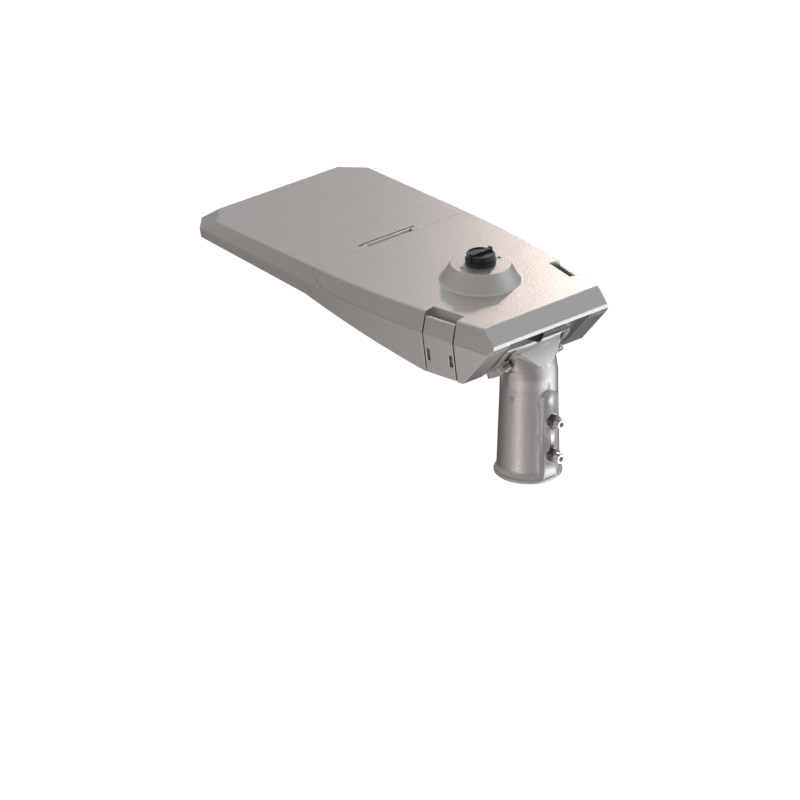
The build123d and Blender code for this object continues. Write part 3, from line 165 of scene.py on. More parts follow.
def noise(tree, place, scale, detail=2.0, roughness=0.5):
    """Soft random patches between 0 and 1."""
    inputs = {"Vector": place, "Scale": scale, "Detail": detail, "Roughness": roughness}
    return put(tree, "ShaderNodeTexNoise", inputs).outputs["Fac"]


def chances(tree, place, scale):
    """Three random values for each cell of a pattern."""
    cells = put(tree, "ShaderNodeTexVoronoi", {"Vector": place, "Scale": scale}).outputs["Color"]
    return put(tree, "ShaderNodeSeparateColor", {"Color": cells}).outputs


def make_cast_grain():
    """Height of a sprayed coat on a die casting: fine orange peel over a slow swell."""
    inputs = {"Scale": 900.0, "Fine": 1.0, "Swell": 0.5}
    tree, given, leave = effect("cast_grain", inputs, "Height")
    place = object_place(tree)
    peel = noise(tree, place, given["Scale"], 3.0, 0.6)
    swell = noise(tree, place, maths(tree, "MULTIPLY", given["Scale"], SWELL_SCALE))
    fine = maths(tree, "MULTIPLY", peel, given["Fine"])
    wide = maths(tree, "MULTIPLY", swell, given["Swell"])
    give(tree, leave, {"Height": maths(tree, "ADD", fine, wide)})
    return tree


def make_flake_coat():
    """Colour and roughness of a metallic coat: bright and dark flakes over a cloudy ground."""
    inputs = {
        "Ground": (0.5, 0.5, 0.5, 1),
        "Bright": (0.9, 0.9, 0.9, 1),
        "Dark": (0.2, 0.2, 0.2, 1),
        "Flake Scale": 1100.0,
        "Flakes": 0.5,
        "Cloud": 0.1,
        "Roughness": 0.45,
        "Roughness Spread": 0.12,
    }
    tree, given, leave = effect("flake_coat", inputs, "Color", "Roughness")
    place = object_place(tree)
    chance = chances(tree, place, given["Flake Scale"])
    amount = given["Flakes"]
    bright = maths(tree, "MULTIPLY", spread(tree, chance[0], *BRIGHT_CELLS), amount)
    dark = maths(tree, "MULTIPLY", spread(tree, chance[1], *DARK_CELLS), amount)
    cloud = noise(tree, place, 22.0, 3.0)
    mist = maths(tree, "MULTIPLY", spread(tree, cloud, *CLOUD_SPAN), given["Cloud"])
    colour = blended(tree, mist, given["Ground"], given["Dark"])
    colour = blended(tree, dark, colour, given["Dark"])
    colour = blended(tree, bright, colour, given["Bright"])
    shift = maths(tree, "SUBTRACT", chance[2], 0.5)
    shift = maths(tree, "MULTIPLY", shift, given["Roughness Spread"])
    rough = maths(tree, "ADD", given["Roughness"], shift)
    give(tree, leave, {"Color": colour, "Roughness": rough})
    return tree


def make_edge_wear_and_highlight():
    """Mask along outer edges, broken up by a fine noise: rubbed wear on the metal parts and a painted
    highlight line on the coat.
    """
    tree, given, leave = effect("edge_wear_and_highlight", {"Width": 0.0008, "Amount": 0.5}, "Mask")
    soft = put(tree, "ShaderNodeBevel", {"Radius": given["Width"]}, samples=4)
    plain = put(tree, "ShaderNodeNewGeometry").outputs["Normal"]
    turn = cosine(tree, soft.outputs["Normal"], plain)
    edge = spread(tree, turn, *EDGE_WEAR_AND_HIGHLIGHT_SPAN)
    place = object_place(tree)
    edge_break = noise(tree, place, 380.0, 4.0)
    broken = maths(tree, "MULTIPLY", edge, spread(tree, edge_break, *EDGE_BREAK_SPAN, 0.35, 1.0))
    give(tree, leave, {"Mask": maths(tree, "MULTIPLY", broken, given["Amount"])})
    return tree


def make_crevice_shade():
    """Mask of painted shade deep in gaps, seams and inner corners."""
    tree, given, leave = effect("crevice_shade", {"Reach": 0.003, "Amount": 0.8}, "Mask")
    open_share = put(
        tree, "ShaderNodeAmbientOcclusion", {"Distance": given["Reach"]}, samples=6
    ).outputs["AO"]
    painted_shade = spread(tree, open_share, *CREVICE_SHADE_SPAN)
    give(tree, leave, {"Mask": maths(tree, "MULTIPLY", painted_shade, given["Amount"])})
    return tree


def make_moulded_skin():
    """Colour, roughness and height of a moulded plastic or rubber skin with a fine spark texture."""
    inputs = {
        "Ground": (0.1, 0.1, 0.1, 1),
        "Dust": (0.3, 0.3, 0.3, 1),
        "Dusting": 0.2,
        "Scale": 1500.0,
        "Roughness": 0.4,
    }
    tree, given, leave = effect("moulded_skin", inputs, "Color", "Roughness", "Height")
    place = object_place(tree)
    spark = noise(tree, place, given["Scale"])
    patch = noise(tree, place, 60.0, 5.0)
    film = maths(tree, "MULTIPLY", spread(tree, patch, *DUST_SPAN), given["Dusting"])
    colour = blended(tree, film, given["Ground"], given["Dust"])
    rough = maths(tree, "ADD", given["Roughness"], maths(tree, "MULTIPLY", patch, 0.18))
    give(tree, leave, {"Color": colour, "Roughness": rough, "Height": spark})
    return tree


EFFECTS = {}


def shared(name):
    """The named effect, built the first time that a material asks for it."""
    makers = {
        "cast_grain": make_cast_grain,
        "flake_coat": make_flake_coat,
        "edge_wear_and_highlight": make_edge_wear_and_highlight,
        "crevice_shade": make_crevice_shade,
        "moulded_skin": make_moulded_skin,
    }
    if name not in EFFECTS:
        EFFECTS[name] = makers[name]()
    return EFFECTS[name]


def apply_effect(tree, name, inputs):
    """One shared effect placed in a material with that material's values."""
    return put(tree, "ShaderNodeGroup", inputs, node_tree=shared(name))


# Materials

# metals: the colour of the cloudy plating, the roughness and the rounding of corners
METALS = {
    "screw_steel": ((0.30, 0.29, 0.28), 0.28, 0.0004),
    "black_steel": ((0.05, 0.05, 0.05), 0.36, 0.0004),
    "bolt_steel": ((0.32, 0.31, 0.30), 0.17, 0.0005),
    "pan_head_steel": ((0.20, 0.19, 0.18), 0.42, 0.0002),
    "drawn_steel": ((0.34, 0.33, 0.32), 0.32, 0.0003),
    "contact_brass": ((0.40, 0.26, 0.10), 0.25, 0.0002),
}

# mouldings: colour, colour and share of dust, roughness, depth of texture, rounding of corners
MOULDINGS = {
    "cap_black": ((0.006, 0.005, 0.005), (0.020, 0.015, 0.013), 0.30, 0.24, 0.06, 0.0005),
    "receptacle_black": ((0.022, 0.022, 0.023), (0.08, 0.08, 0.08), 0.35, 0.38, 0.4, 0.0004),
    "seal_rubber": ((0.030, 0.030, 0.031), (0.12, 0.12, 0.12), 0.5, 0.62, 0.5, 0.0004),
    "driver_case": ((0.52, 0.53, 0.53), (0.36, 0.36, 0.35), 0.3, 0.42, 0.3, 0.0008),
    "protector_case": ((0.56, 0.56, 0.54), (0.40, 0.39, 0.37), 0.3, 0.40, 0.4, 0.0008),
    "terminal_grey": ((0.42, 0.43, 0.43), (0.30, 0.30, 0.29), 0.3, 0.45, 0.4, 0.0004),
    "gland_black": ((0.025, 0.025, 0.026), (0.09, 0.09, 0.09), 0.4, 0.42, 0.5, 0.0006),
}

# the share of its roughness that the coat loses along its painted edge highlight
EDGE_SHINE = 0.35


def finish_named(name, **plain):
    """A new material with a Principled shader and its plain values."""
    material = bpy.data.materials.new(name)
    material.use_nodes = True
    tree = material.node_tree
    tree.nodes.clear()
    shader = tree.nodes.new("ShaderNodeBsdfPrincipled")
    output = tree.nodes.new("ShaderNodeOutputMaterial")
    tree.links.new(shader.outputs[0], output.inputs["Surface"])
    for key, value in plain.items():
        shader.inputs[key.replace("_", " ")].default_value = value
    return material, tree, shader


def feed(tree, shader, **sources):
    """Links sources to the shader's inputs of those names."""
    for key, source in sources.items():
        tree.links.new(source, shader.inputs[key.replace("_", " ")])


def bumped(tree, shader, height, strength, distance, rounding=0.0):
    """A height on the surface, over corners that are rounded by the given radius."""
    inputs = {"Height": height, "Strength": strength, "Distance": distance}
    if rounding:
        inputs["Normal"] = put(tree, "ShaderNodeBevel", {"Radius": rounding}, samples=6).outputs[0]
    feed(tree, shader, Normal=put(tree, "ShaderNodeBump", inputs).outputs["Normal"])


def rgba(colour):
    """A colour with full alpha."""
    return (*colour, 1.0)


def silver_coat():
    """Silver-grey metallic powder coat on the castings."""
    look = bpy.context.scene.streetlight_coat
    material, tree, shader = finish_named("silver_coat", Metallic=look.metallic)
    coat = apply_effect(
        tree,
        "flake_coat",
        {
            "Ground": rgba(look.ground),
            "Bright": rgba(look.bright_flake),
            "Dark": rgba(look.dark_flake),
            "Flake Scale": look.flake_scale,
            "Flakes": look.flakes,
            "Cloud": 0.10,
            "Roughness": look.roughness,
            "Roughness Spread": 0.12,
        },
    )
    # painted highlight: the edge mask paints light lines along the castings' outer edges, where rounded
    # edges catch the light
    worn_and_lit_edge = apply_effect(tree, "edge_wear_and_highlight", {"Width": look.edge_radius, "Amount": look.edge_highlight})
    highlight_mask = worn_and_lit_edge.outputs["Mask"]
    colour = blended(tree, highlight_mask, coat.outputs["Color"], rgba(look.edge_highlight_colour))
    # painted shade: the crevice mask darkens gaps, seams and inner corners towards a near-black colour
    painted_shade = apply_effect(tree, "crevice_shade", {"Reach": look.crevice_shade_reach, "Amount": 0.9})
    colour = blended(tree, painted_shade.outputs["Mask"], colour, rgba(look.crevice_shade))
    thin = maths(tree, "MULTIPLY", highlight_mask, EDGE_SHINE)
    edge_gloss = maths(tree, "MULTIPLY", coat.outputs["Roughness"], maths(tree, "SUBTRACT", 1.0, thin))
    feed(tree, shader, Base_Color=colour, Roughness=edge_gloss)
    grain = apply_effect(tree, "cast_grain", {"Scale": look.grain_scale, "Fine": 1.0, "Swell": 0.2})
    bumped(tree, shader, grain.outputs["Height"], 1.0, look.grain_height, look.edge_radius)
    return material


def bright_metal(name, ground):
    """Steel or brass with a faint cloudy plating and edges painted lighter, as rubbed wear and as a painted
    highlight.
    """
    plating, roughness, rounding = METALS[name]
    material, tree, shader = finish_named(name, Metallic=1.0)
    coat = apply_effect(
        tree,
        "flake_coat",
        {
            "Ground": rgba(ground),
            "Bright": (0.92, 0.91, 0.89, 1),
            "Dark": rgba(plating),
            "Flake Scale": 700.0,
            "Flakes": 0.16,
            "Cloud": 0.45,
            "Roughness": roughness,
            "Roughness Spread": 0.10,
        },
    )
    # rubbed wear and painted highlight: the edge mask paints the outer edges lighter
    worn_and_lit_edge = apply_effect(tree, "edge_wear_and_highlight", {"Width": rounding * 1.5, "Amount": 0.6})
    colour = blended(tree, worn_and_lit_edge.outputs["Mask"], coat.outputs["Color"], (0.9, 0.89, 0.87, 1))
    feed(tree, shader, Base_Color=colour, Roughness=coat.outputs["Roughness"])
    grain = apply_effect(tree, "cast_grain", {"Scale": 1600.0, "Fine": 0.6, "Swell": 0.5})
    bumped(tree, shader, grain.outputs["Height"], 0.25, 0.00012, rounding)
    return material


def moulding(name, **plain):
    """Moulded plastic or rubber."""
    ground, dust, dusting, roughness, texture, rounding = MOULDINGS[name]
    material, tree, shader = finish_named(name, **plain)
    skin = apply_effect(
        tree,
        "moulded_skin",
        {
            "Ground": rgba(ground),
            "Dust": rgba(dust),
            "Dusting": dusting,
            "Scale": 1500.0,
            "Roughness": roughness,
        },
    )
    feed(tree, shader, Base_Color=skin.outputs["Color"], Roughness=skin.outputs["Roughness"])
    bumped(tree, shader, skin.outputs["Height"], texture, 0.0002, rounding)
    return material


def zinc_sheet():
    """Galvanised sheet with its crystal spangle."""
    material, tree, shader = finish_named("zinc_sheet", Metallic=1.0)
    place = object_place(tree)
    crystal = chances(tree, place, 130.0)
    colour = blended(tree, crystal[0], (0.42, 0.44, 0.45, 1), (0.62, 0.64, 0.65, 1))
    feed(tree, shader, Base_Color=colour, Roughness=spread(tree, crystal[1], 0.0, 1.0, 0.30, 0.55))
    grain = apply_effect(tree, "cast_grain", {"Scale": 800.0, "Fine": 0.5, "Swell": 0.4})
    bumped(tree, shader, grain.outputs["Height"], 0.2, 0.0001, 0.0004)
    return material


def tempered_glass():
    """Clear flat glass with a trace of green and faint rain marks."""
    look = bpy.context.scene.streetlight_optics
    material, tree, shader = finish_named("tempered_glass", Transmission_Weight=1.0, IOR=1.50)
    place = object_place(tree)
    marks = noise(tree, place, 90.0, 6.0)
    colour = blended(tree, spread(tree, marks, 0.4, 0.8), rgba(look.glass), (0.90, 0.93, 0.92, 1))
    feed(tree, shader, Base_Color=colour, Roughness=spread(tree, marks, 0.5, 0.9, 0.0, 0.09))
    return material


def clear_acrylic():
    """Optical acrylic of the lens plates, clear with a fine moulded ripple."""
    look = bpy.context.scene.streetlight_optics
    material, tree, shader = finish_named("clear_acrylic", Transmission_Weight=0.75, IOR=1.49)
    place = object_place(tree)
    ripple = noise(tree, place, 240.0)
    colour = blended(tree, ripple, rgba(look.lens), (0.97, 0.98, 1.0, 1))
    feed(tree, shader, Base_Color=colour, Roughness=spread(tree, ripple, 0.3, 0.8, 0.03, 0.12))
    bumped(tree, shader, ripple, 0.15, 0.0001)
    return material


def circuit_board():
    """White solder-masked aluminium circuit board with faint copper runs under the mask."""
    material, tree, shader = finish_named("circuit_board", Coat_Weight=0.15)
    place = object_place(tree)
    runs = put(
        tree,
        "ShaderNodeTexBrick",
        {
            "Vector": place,
            "Color1": (0.80, 0.81, 0.79, 1),
            "Color2": (0.76, 0.77, 0.75, 1),
            "Mortar": (0.60, 0.62, 0.60, 1),
            "Scale": 22.0,
            "Mortar Size": 0.012,
            "Brick Width": 0.9,
            "Row Height": 0.42,
        },
    )
    grain = noise(tree, place, 500.0, 3.0)
    share = maths(tree, "MULTIPLY", grain, 0.2)
    colour = blended(tree, share, runs.outputs["Color"], (0.9, 0.9, 0.88, 1))
    feed(tree, shader, Base_Color=colour, Roughness=spread(tree, grain, 0.3, 0.7, 0.32, 0.5))
    bumped(tree, shader, runs.outputs["Fac"], 0.3, 0.0001, 0.0003)
    return material


def phosphor_chip():
    """Yellow phosphor of an unlit light source in its pale frame."""
    look = bpy.context.scene.streetlight_optics
    material, tree, shader = finish_named("phosphor_chip")
    place = object_place(tree)
    grains = noise(tree, place, 2500.0)
    colour = blended(tree, grains, rgba(look.phosphor), (0.95, 0.78, 0.25, 1))
    feed(tree, shader, Base_Color=colour, Roughness=spread(tree, grains, 0.3, 0.7, 0.25, 0.5))
    bumped(tree, shader, grains, 0.3, 0.0001, 0.0003)
    return material


def pale_floor():
    """Matt floor that is seen from above only."""
    look = bpy.context.scene.streetlight_stage
    material, tree, shader = finish_named("pale_floor", Roughness=0.9, Emission_Strength=look.floor_glow)
    shader.inputs["Base Color"].default_value = rgba(look.floor)
    shader.inputs["Emission Color"].default_value = rgba(look.floor)
    clear = put(tree, "ShaderNodeBsdfTransparent")
    behind = put(tree, "ShaderNodeNewGeometry").outputs["Backfacing"]
    mixed = put(tree, "ShaderNodeMixShader", {0: behind, 1: shader.outputs[0], 2: clear.outputs[0]})
    output = next(n for n in tree.nodes if n.bl_idname == "ShaderNodeOutputMaterial")
    tree.links.new(mixed.outputs[0], output.inputs["Surface"])
    return material


def dress(material, names):
    """The material on every CAD node named."""
    for name in names:
        mesh = NODES[name].data
        if len(mesh.materials) == 0:
            mesh.materials.append(material)
        for index in range(len(mesh.materials)):
            mesh.materials[index] = material


# Sections of turned and cut parts

# turned profiles by shares of a size: how far out, and how high over a foot or a top
CAP_HEAD_FOOT = ((0.94, 0.0), (1.0, 0.06))
CAP_HEAD_TOP = ((1.0, -0.16), (0.93, -0.03), (0.86, 0.0))
BOLT_COLLAR = ((0.47, 0.0), (0.47, 0.04))
BOLT_DISH = ((0.30, 0.0), (0.26, -0.05))
NUT_MOUTH = ((1.15, 0.0), (1.0, -0.12))
DRILL_POINT = ((0.1, -0.2),)
PAN_HEAD = ((0.98, 0.0), (1.0, 0.10), (0.90, 0.34), (0.72, 0.45))

# a cap head by shares of its radius: the shank, the key's hexagon across flats, and its depth
CLAMP_SHANK = 0.75
KEY_FLATS = 0.95
KEY_DEPTH = 0.75

# the mouth of the key's hole by shares of the key and, for its edge, of the head
KEY_MOUTH = 1.12
KEY_CIRCLE = 0.60
KEY_EDGE = 0.06

# a lock nut's hole by a share of its flats, and its plain foot by a share of its height
NUT_HOLE = 0.31
NUT_FOOT = 0.05

# a pan head by shares of its radius: the shank and the head's height
SCREW_SHANK = 0.575
PAN_HEIGHT = 0.5

# the tips of shanks by shares of their radius, and where their threads start
CLAMP_TIP = (((0.7, 0.0), (0.92, 0.2)), 0.3)
BOLT_TIP = (((0.7, 0.0), (0.92, 0.25)), 0.35)
SCREW_TIP = (((0.25, 0.0), (0.9, 0.5)), 0.6)

# a cross recess by shares of the head: half length and half width of its arms, and its height
CROSS_RECESS = ((0.56, 0.15, 0.49), (0.50, 0.11, 0.32), (0.22, 0.08, -0.05))

# a thread's depth as a share of its pitch, and the rows of points in one pitch
THREAD_DEPTH = 0.45
THREAD_ROWS = 6

# the share of a hexagon's flats that stays flat on its top, and the slope of its corners
FLAT_TOP = 0.94
CORNER_SLOPE = math.radians(30)


def ring(radius):
    """A round section."""
    return lambda angle: radius


def hexagon(flats, cap=math.inf):
    """A hexagonal section by its width across flats, held inside a circle."""
    side = math.radians(60)

    def reach(angle):
        off = (angle + side / 2) % side - side / 2
        return min(flats / 2 / math.cos(off), cap)

    return reach


def cross(length, width):
    """The section of a cross recess by the half length and half width of its arms."""
    quarter = math.pi / 2

    def reach(angle):
        off = abs((angle + quarter / 2) % quarter - quarter / 2)
        along = length / math.cos(off)
        across = width / max(math.sin(off), TINY)
        return min(along, across)

    return reach


def thread(radius, depth, pitch, height):
    """The section of a thread at a height."""

    def reach(angle):
        share = (height / pitch - angle / TURN) % 1.0
        return radius - depth * abs(2 * share - 1)

    return reach


def loft(mesh, sections, seat):
    """A closed skin through sections, each a reach and a height, stood on a seat."""
    rows = []
    for reach, height in sections:
        row = []
        for step in range(SIDES):
            angle = TURN * step / SIDES
            out = reach(angle)
            point = Vector((out * math.cos(angle), out * math.sin(angle), height))
            row.append(mesh.verts.new(seat @ point))
        rows.append(row)
    for low, high in zip(rows, rows[1:]):
        for step in range(SIDES):
            after = (step + 1) % SIDES
            mesh.faces.new((low[step], low[after], high[after], high[step]))
    mesh.faces.new(list(reversed(rows[0])))
    mesh.faces.new(rows[-1])


def turned(size, foot, steps):
    """The round sections of a turned profile over a foot."""
    return [(ring(size * out), foot + size * up) for out, up in steps]


def threaded(radius, pitch, low, high):
    """The sections of a threaded run between two heights."""
    count = max(2, round((high - low) / pitch * THREAD_ROWS))
    heights = [low + (high - low) * step / count for step in range(count + 1)]
    return [(thread(radius, pitch * THREAD_DEPTH, pitch, height), height) for height in heights]


def shank_rows(radius, pitch, tip, high):
    """The sections of a shank from its tip, along its thread, up to a height."""
    steps, start = tip
    return turned(radius, 0.0, steps) + threaded(radius, pitch, radius * start, high)


def chamfered_hexagon(flats, low, high):
    """The sections of a hexagon between two heights, its corners turned off at the top."""
    corner = flats / 2 / math.cos(math.radians(30))
    cut = corner - flats / 2 * FLAT_TOP
    drop = cut * math.tan(CORNER_SLOPE)
    rows = [(hexagon(flats), low)]
    for share in (1.0, 0.75, 0.5, 0.25, 0.0):
        rows.append((hexagon(flats, corner - cut * (1 - share)), high - drop * share))
    return rows


def islands(node, axis):
    """The separate solids of a node: the seat of each at its low end, its length and its reach."""
    mesh = NODES[node].data
    parent, place = {}, {}

    def root(key):
        while parent[key] != key:
            parent[key] = parent[parent[key]]
            key = parent[key]
        return key

    for vertex in mesh.vertices:
        key = tuple(round(c, 6) for c in vertex.co)
        place[vertex.index] = key
        parent.setdefault(key, key)
    for edge in mesh.edges:
        first, second = (root(place[i]) for i in edge.vertices)
        parent[first] = second
    groups = {}
    for key in parent:
        groups.setdefault(root(key), []).append(Vector(key))
    turn = axis.to_track_quat("Z", "Y").to_matrix()
    seats = []
    for points in groups.values():
        local = [turn.transposed() @ point for point in points]
        low = Vector(min(p[i] for p in local) for i in range(3))
        high = Vector(max(p[i] for p in local) for i in range(3))
        middle = (low + high) / 2
        base = turn @ Vector((middle.x, middle.y, low.z))
        seats.append((Matrix.Translation(base) @ turn.to_4x4(), high.z - low.z, (high.x - low.x) / 2))
    return sorted(seats, key=lambda seat: tuple(seat[0].translation))


def linked(name, data):
    """A new object in the scene."""
    item = bpy.data.objects.new(name, data)
    bpy.context.scene.collection.objects.link(item)
    return item


def closed(name, mesh):
    """The data of a closed mesh, its faces turned outward."""
    bmesh.ops.recalc_face_normals(mesh, faces=mesh.faces)
    data = bpy.data.meshes.new(name)
    mesh.to_mesh(data)
    mesh.free()
    return data


def add_piece(name, mesh, material, body, node):
    """A finished piece made of a mesh in the row frame, riding on its body in place of its node."""
    data = closed(name, mesh)
    data.materials.append(material)
    data.shade_smooth()
    data.set_sharp_from_angle(angle=SHARP_ANGLE)
    piece = linked(name, data)
    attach(piece, body)
    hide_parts(node)
    return piece


# Neck of the adaptor

# the share of the fan's width that its ears add, and how late they curl outward
FAN_FLARE = 0.24
FAN_CURL = 6

# the trim starts outside the casting by this share of its depth, and deepens by one part in so many
TRIM_START = 0.6
TRIM_SLOPE = 25

# rows and columns of the cutter, and how closely its columns stand by the fan's edge
PAD_ROWS = 14
CUT_ROWS = 64
CUT_COLUMNS = 28
CROWDING = 1.6

# the cutter's reach past the fan's ears, its depth behind the neck and its wall round the pad
PAST_FAN = 1.12
BEHIND_NECK = 0.01
PAD_WALL = 0.0001


def neck_back(look, height):
    """How far back the neck's curved rear reaches at a height."""
    rise = max(height - look.neck_foot, 0.0)
    return look.neck_rear + look.neck_radius - math.sqrt(look.neck_radius**2 - rise**2)


def fan_reach(look, height):
    """Half the fan's width at a height: nothing at its tip, and wider and wider up to its ears."""
    share = max(0.0, (height - look.fan_tip) / (look.neck_top - look.fan_tip))
    return look.fan_half * (share * (1 - FAN_FLARE) + share**FAN_CURL * FAN_FLARE)


def pad_reach(look, height):
    """Half the width of the clamp pad's round top at a height."""
    rise = height - (look.pad_top - look.pad_half)
    return math.sqrt(max(0.0, look.pad_half**2 - rise**2))


def neck_skin(look, across, height):
    """Where the finished rear of neck and fan lies, at a distance from the middle and a height."""
    pad = pad_reach(look, height)
    if pad > TINY and abs(across) <= pad:
        return look.pad_rear
    rise = (height - look.neck_low) / (look.neck_trim * TRIM_SLOPE)
    tube = look.tube_radius - look.neck_trim * min(1.0, rise - TRIM_START)
    rear = neck_back(look, height)
    back = max(rear, -tube)
    middle = (back + tube) / 2
    skin = middle - (middle - back) * math.sqrt(max(0.0, 1 - (across / tube) ** 2))
    drop = look.saddle_radius**2 - (look.saddle_height - height) ** 2
    if drop > 0:
        skin = min(skin, look.saddle_axis - math.sqrt(drop))
    face = min(skin, rear + look.neck_trim + look.fan_ridge * abs(across))
    past_fan = abs(across) - fan_reach(look, height)
    if past_fan <= 0:
        return face
    share = min(1.0, past_fan / look.fan_fillet)
    return face + (skin - face) * math.sqrt(1 - (1 - share) ** 2)


def cutter_heights(look):
    """Heights of the cutter's rows: along the pad's round top, then evenly up to the fan's top."""
    start = math.asin((look.neck_low - look.pad_top + look.pad_half) / look.pad_half)
    swings = [start + (math.pi / 2 - start) * row / PAD_ROWS for row in range(PAD_ROWS)]
    heights = [look.pad_top - look.pad_half * (1 - math.sin(swing)) for swing in swings]
    climb = look.neck_top + look.neck_trim - look.pad_top
    return heights + [look.pad_top + climb * row / CUT_ROWS for row in range(CUT_ROWS + 1)]


def neck_cutter(look):
    """The solid that is cut from the casting's rear to leave a round neck under a thin-edged fan."""
    mesh = bmesh.new()
    rows = []
    past = look.fan_half * PAST_FAN
    far = look.neck_rear - BEHIND_NECK
    crowded = [(column / CUT_COLUMNS) ** CROWDING for column in range(CUT_COLUMNS + 1)]
    for height in cutter_heights(look):
        pad = pad_reach(look, height)
        edge = max(fan_reach(look, min(height, look.neck_top)), pad)
        foot = edge + (PAD_WALL if pad > TINY else 0.0)
        sides = [edge] + [foot + (past - foot) * share for share in crowded]
        spots = [-side for side in reversed(sides)] + [0.0] + sides
        front = [mesh.verts.new((neck_skin(look, y, height), y, height)) for y in spots]
        back = [mesh.verts.new((far, y, height)) for y in (-past, past)]
        rows.append((front, back))
    for (front, back), (front_up, back_up) in zip(rows, rows[1:]):
        for near, after, near_up, after_up in zip(front, front[1:], front_up, front_up[1:]):
            mesh.faces.new((near, near_up, after_up, after))
        mesh.faces.new((front[0], back[0], back_up[0], front_up[0]))
        mesh.faces.new((front[-1], front_up[-1], back_up[1], back[1]))
        mesh.faces.new((back[0], back[1], back_up[1], back_up[0]))
    for front, back in (rows[0], rows[-1]):
        mesh.faces.new((*front, back[1], back[0]))
    bmesh.ops.remove_doubles(mesh, verts=mesh.verts, dist=TINY)
    return closed("neck_cutter", mesh)


def carved(node, cutter):
    """A copy of a node's mesh with a cutter's solid taken away."""
    keeper = linked("carved_casting", NODES[node].data.copy())
    tool = linked("carving_tool", cutter)
    cut = keeper.modifiers.new("cut", "BOOLEAN")
    cut.operation = "DIFFERENCE"
    cut.solver = "EXACT"
    cut.object = tool
    graph = bpy.context.evaluated_depsgraph_get()
    data = bpy.data.meshes.new_from_object(keeper.evaluated_get(graph))
    mesh = bmesh.new()
    mesh.from_mesh(data)
    for item in (keeper, tool):
        bpy.data.objects.remove(item)
    bpy.data.meshes.remove(data)
    bmesh.ops.remove_doubles(mesh, verts=mesh.verts, dist=TINY * 2)
    return mesh


# Settings


def colour_setting(name, description, default):
    """A colour that a user may change."""
    return FloatVectorProperty(
        name=name, description=description, subtype="COLOR", size=3, min=0, soft_max=1, default=default
    )


def number_setting(name, description, default, **more):
    """A number that a user may change."""
    return FloatProperty(name=name, description=description, default=default, **more)


def length_setting(name, description, default):
    """A length that a user may change."""
    return number_setting(name, description, default, unit="LENGTH", precision=5)


class StreetlightCoat(bpy.types.PropertyGroup):
    """The castings' coat."""

    ground: colour_setting("Ground", "Colour of the coat", (0.56, 0.545, 0.53))
    bright_flake: colour_setting("Bright flake", "Colour of a flake that catches light", (0.80, 0.78, 0.76))
    dark_flake: colour_setting("Dark flake", "Colour of a flake that faces away", (0.47, 0.455, 0.44))
    metallic: number_setting("Metallic", "Share of metal in the coat", 0.78)
    roughness: number_setting("Roughness", "Mean roughness of the coat", 0.36)
    flakes: number_setting("Flakes", "How far flakes stand out", 0.36)
    flake_scale: number_setting("Flake scale", "Flakes per metre", 800.0)
    grain_scale: number_setting("Grain scale", "Peaks of orange peel per metre", 580.0)
    grain_height: length_setting("Grain height", "Height of the orange peel", 0.00040)
    edge_radius: length_setting("Edge radius", "Radius of the castings' edges", 0.0015)
    # painted highlight: this amount and colour paint light lines along the castings' edges
    edge_highlight: number_setting("Edge wear", "How far edges are rubbed bright", 1.0)
    edge_highlight_colour: colour_setting("Bright edge", "Colour of a rubbed edge", (0.93, 0.91, 0.89))
    # painted shade: this colour and its reach paint the shade of gaps, seams and inner corners into the
    # coat
    crevice_shade: colour_setting("Crevice", "Colour of the dirt in gaps", (0.05, 0.048, 0.046))
    crevice_shade_reach: length_setting("Crevice reach", "Width of the gaps that hold dirt", 0.003)


class StreetlightNeck(bpy.types.PropertyGroup):
    """Neck and fan of the adaptor."""

    neck_rear: length_setting("Neck rear", "Place of the neck's rear at its foot", -0.0383)
    neck_foot: length_setting("Neck foot", "Height where the neck's rear starts to curve", 0.1141)
    neck_low: length_setting("Finish from", "Height where the rounded neck begins, beside the pad", 0.1139)
    pad_top: length_setting("Pad top", "Height of the clamp pad's round top", 0.1221)
    pad_half: length_setting("Pad half width", "Half the clamp pad's width", 0.0116)
    pad_rear: length_setting("Pad rear", "Place behind the clamp pad, where nothing is cut", -0.0405)
    neck_top: length_setting("Neck top", "Height of the fan's top edge", 0.1828)
    neck_radius: length_setting("Neck curve", "Radius of the neck's rear curve", 0.1174)
    neck_trim: length_setting("Trim", "Depth of the finishing cut", 0.0003)
    tube_radius: length_setting("Tube radius", "Radius of the neck's tube", 0.0363)
    fan_tip: length_setting("Fan tip", "Height of the fan's lower tip", 0.145)
    fan_half: length_setting("Fan half width", "Half the fan's width at its ears", 0.0527)
    fan_fillet: length_setting("Fan fillet", "Width of the hollow fillet under the fan's edge", 0.005)
    fan_ridge: number_setting("Fan ridge", "Slope of the fan to each side of its middle", 0.035)
    saddle_axis: length_setting("Tilt axis", "Place of the tilt axis in front of the socket", 0.0825)
    saddle_height: length_setting("Tilt height", "Height of the tilt axis", 0.2314)
    saddle_radius: length_setting("Flange radius", "Outer radius of the curved flange", 0.1101)


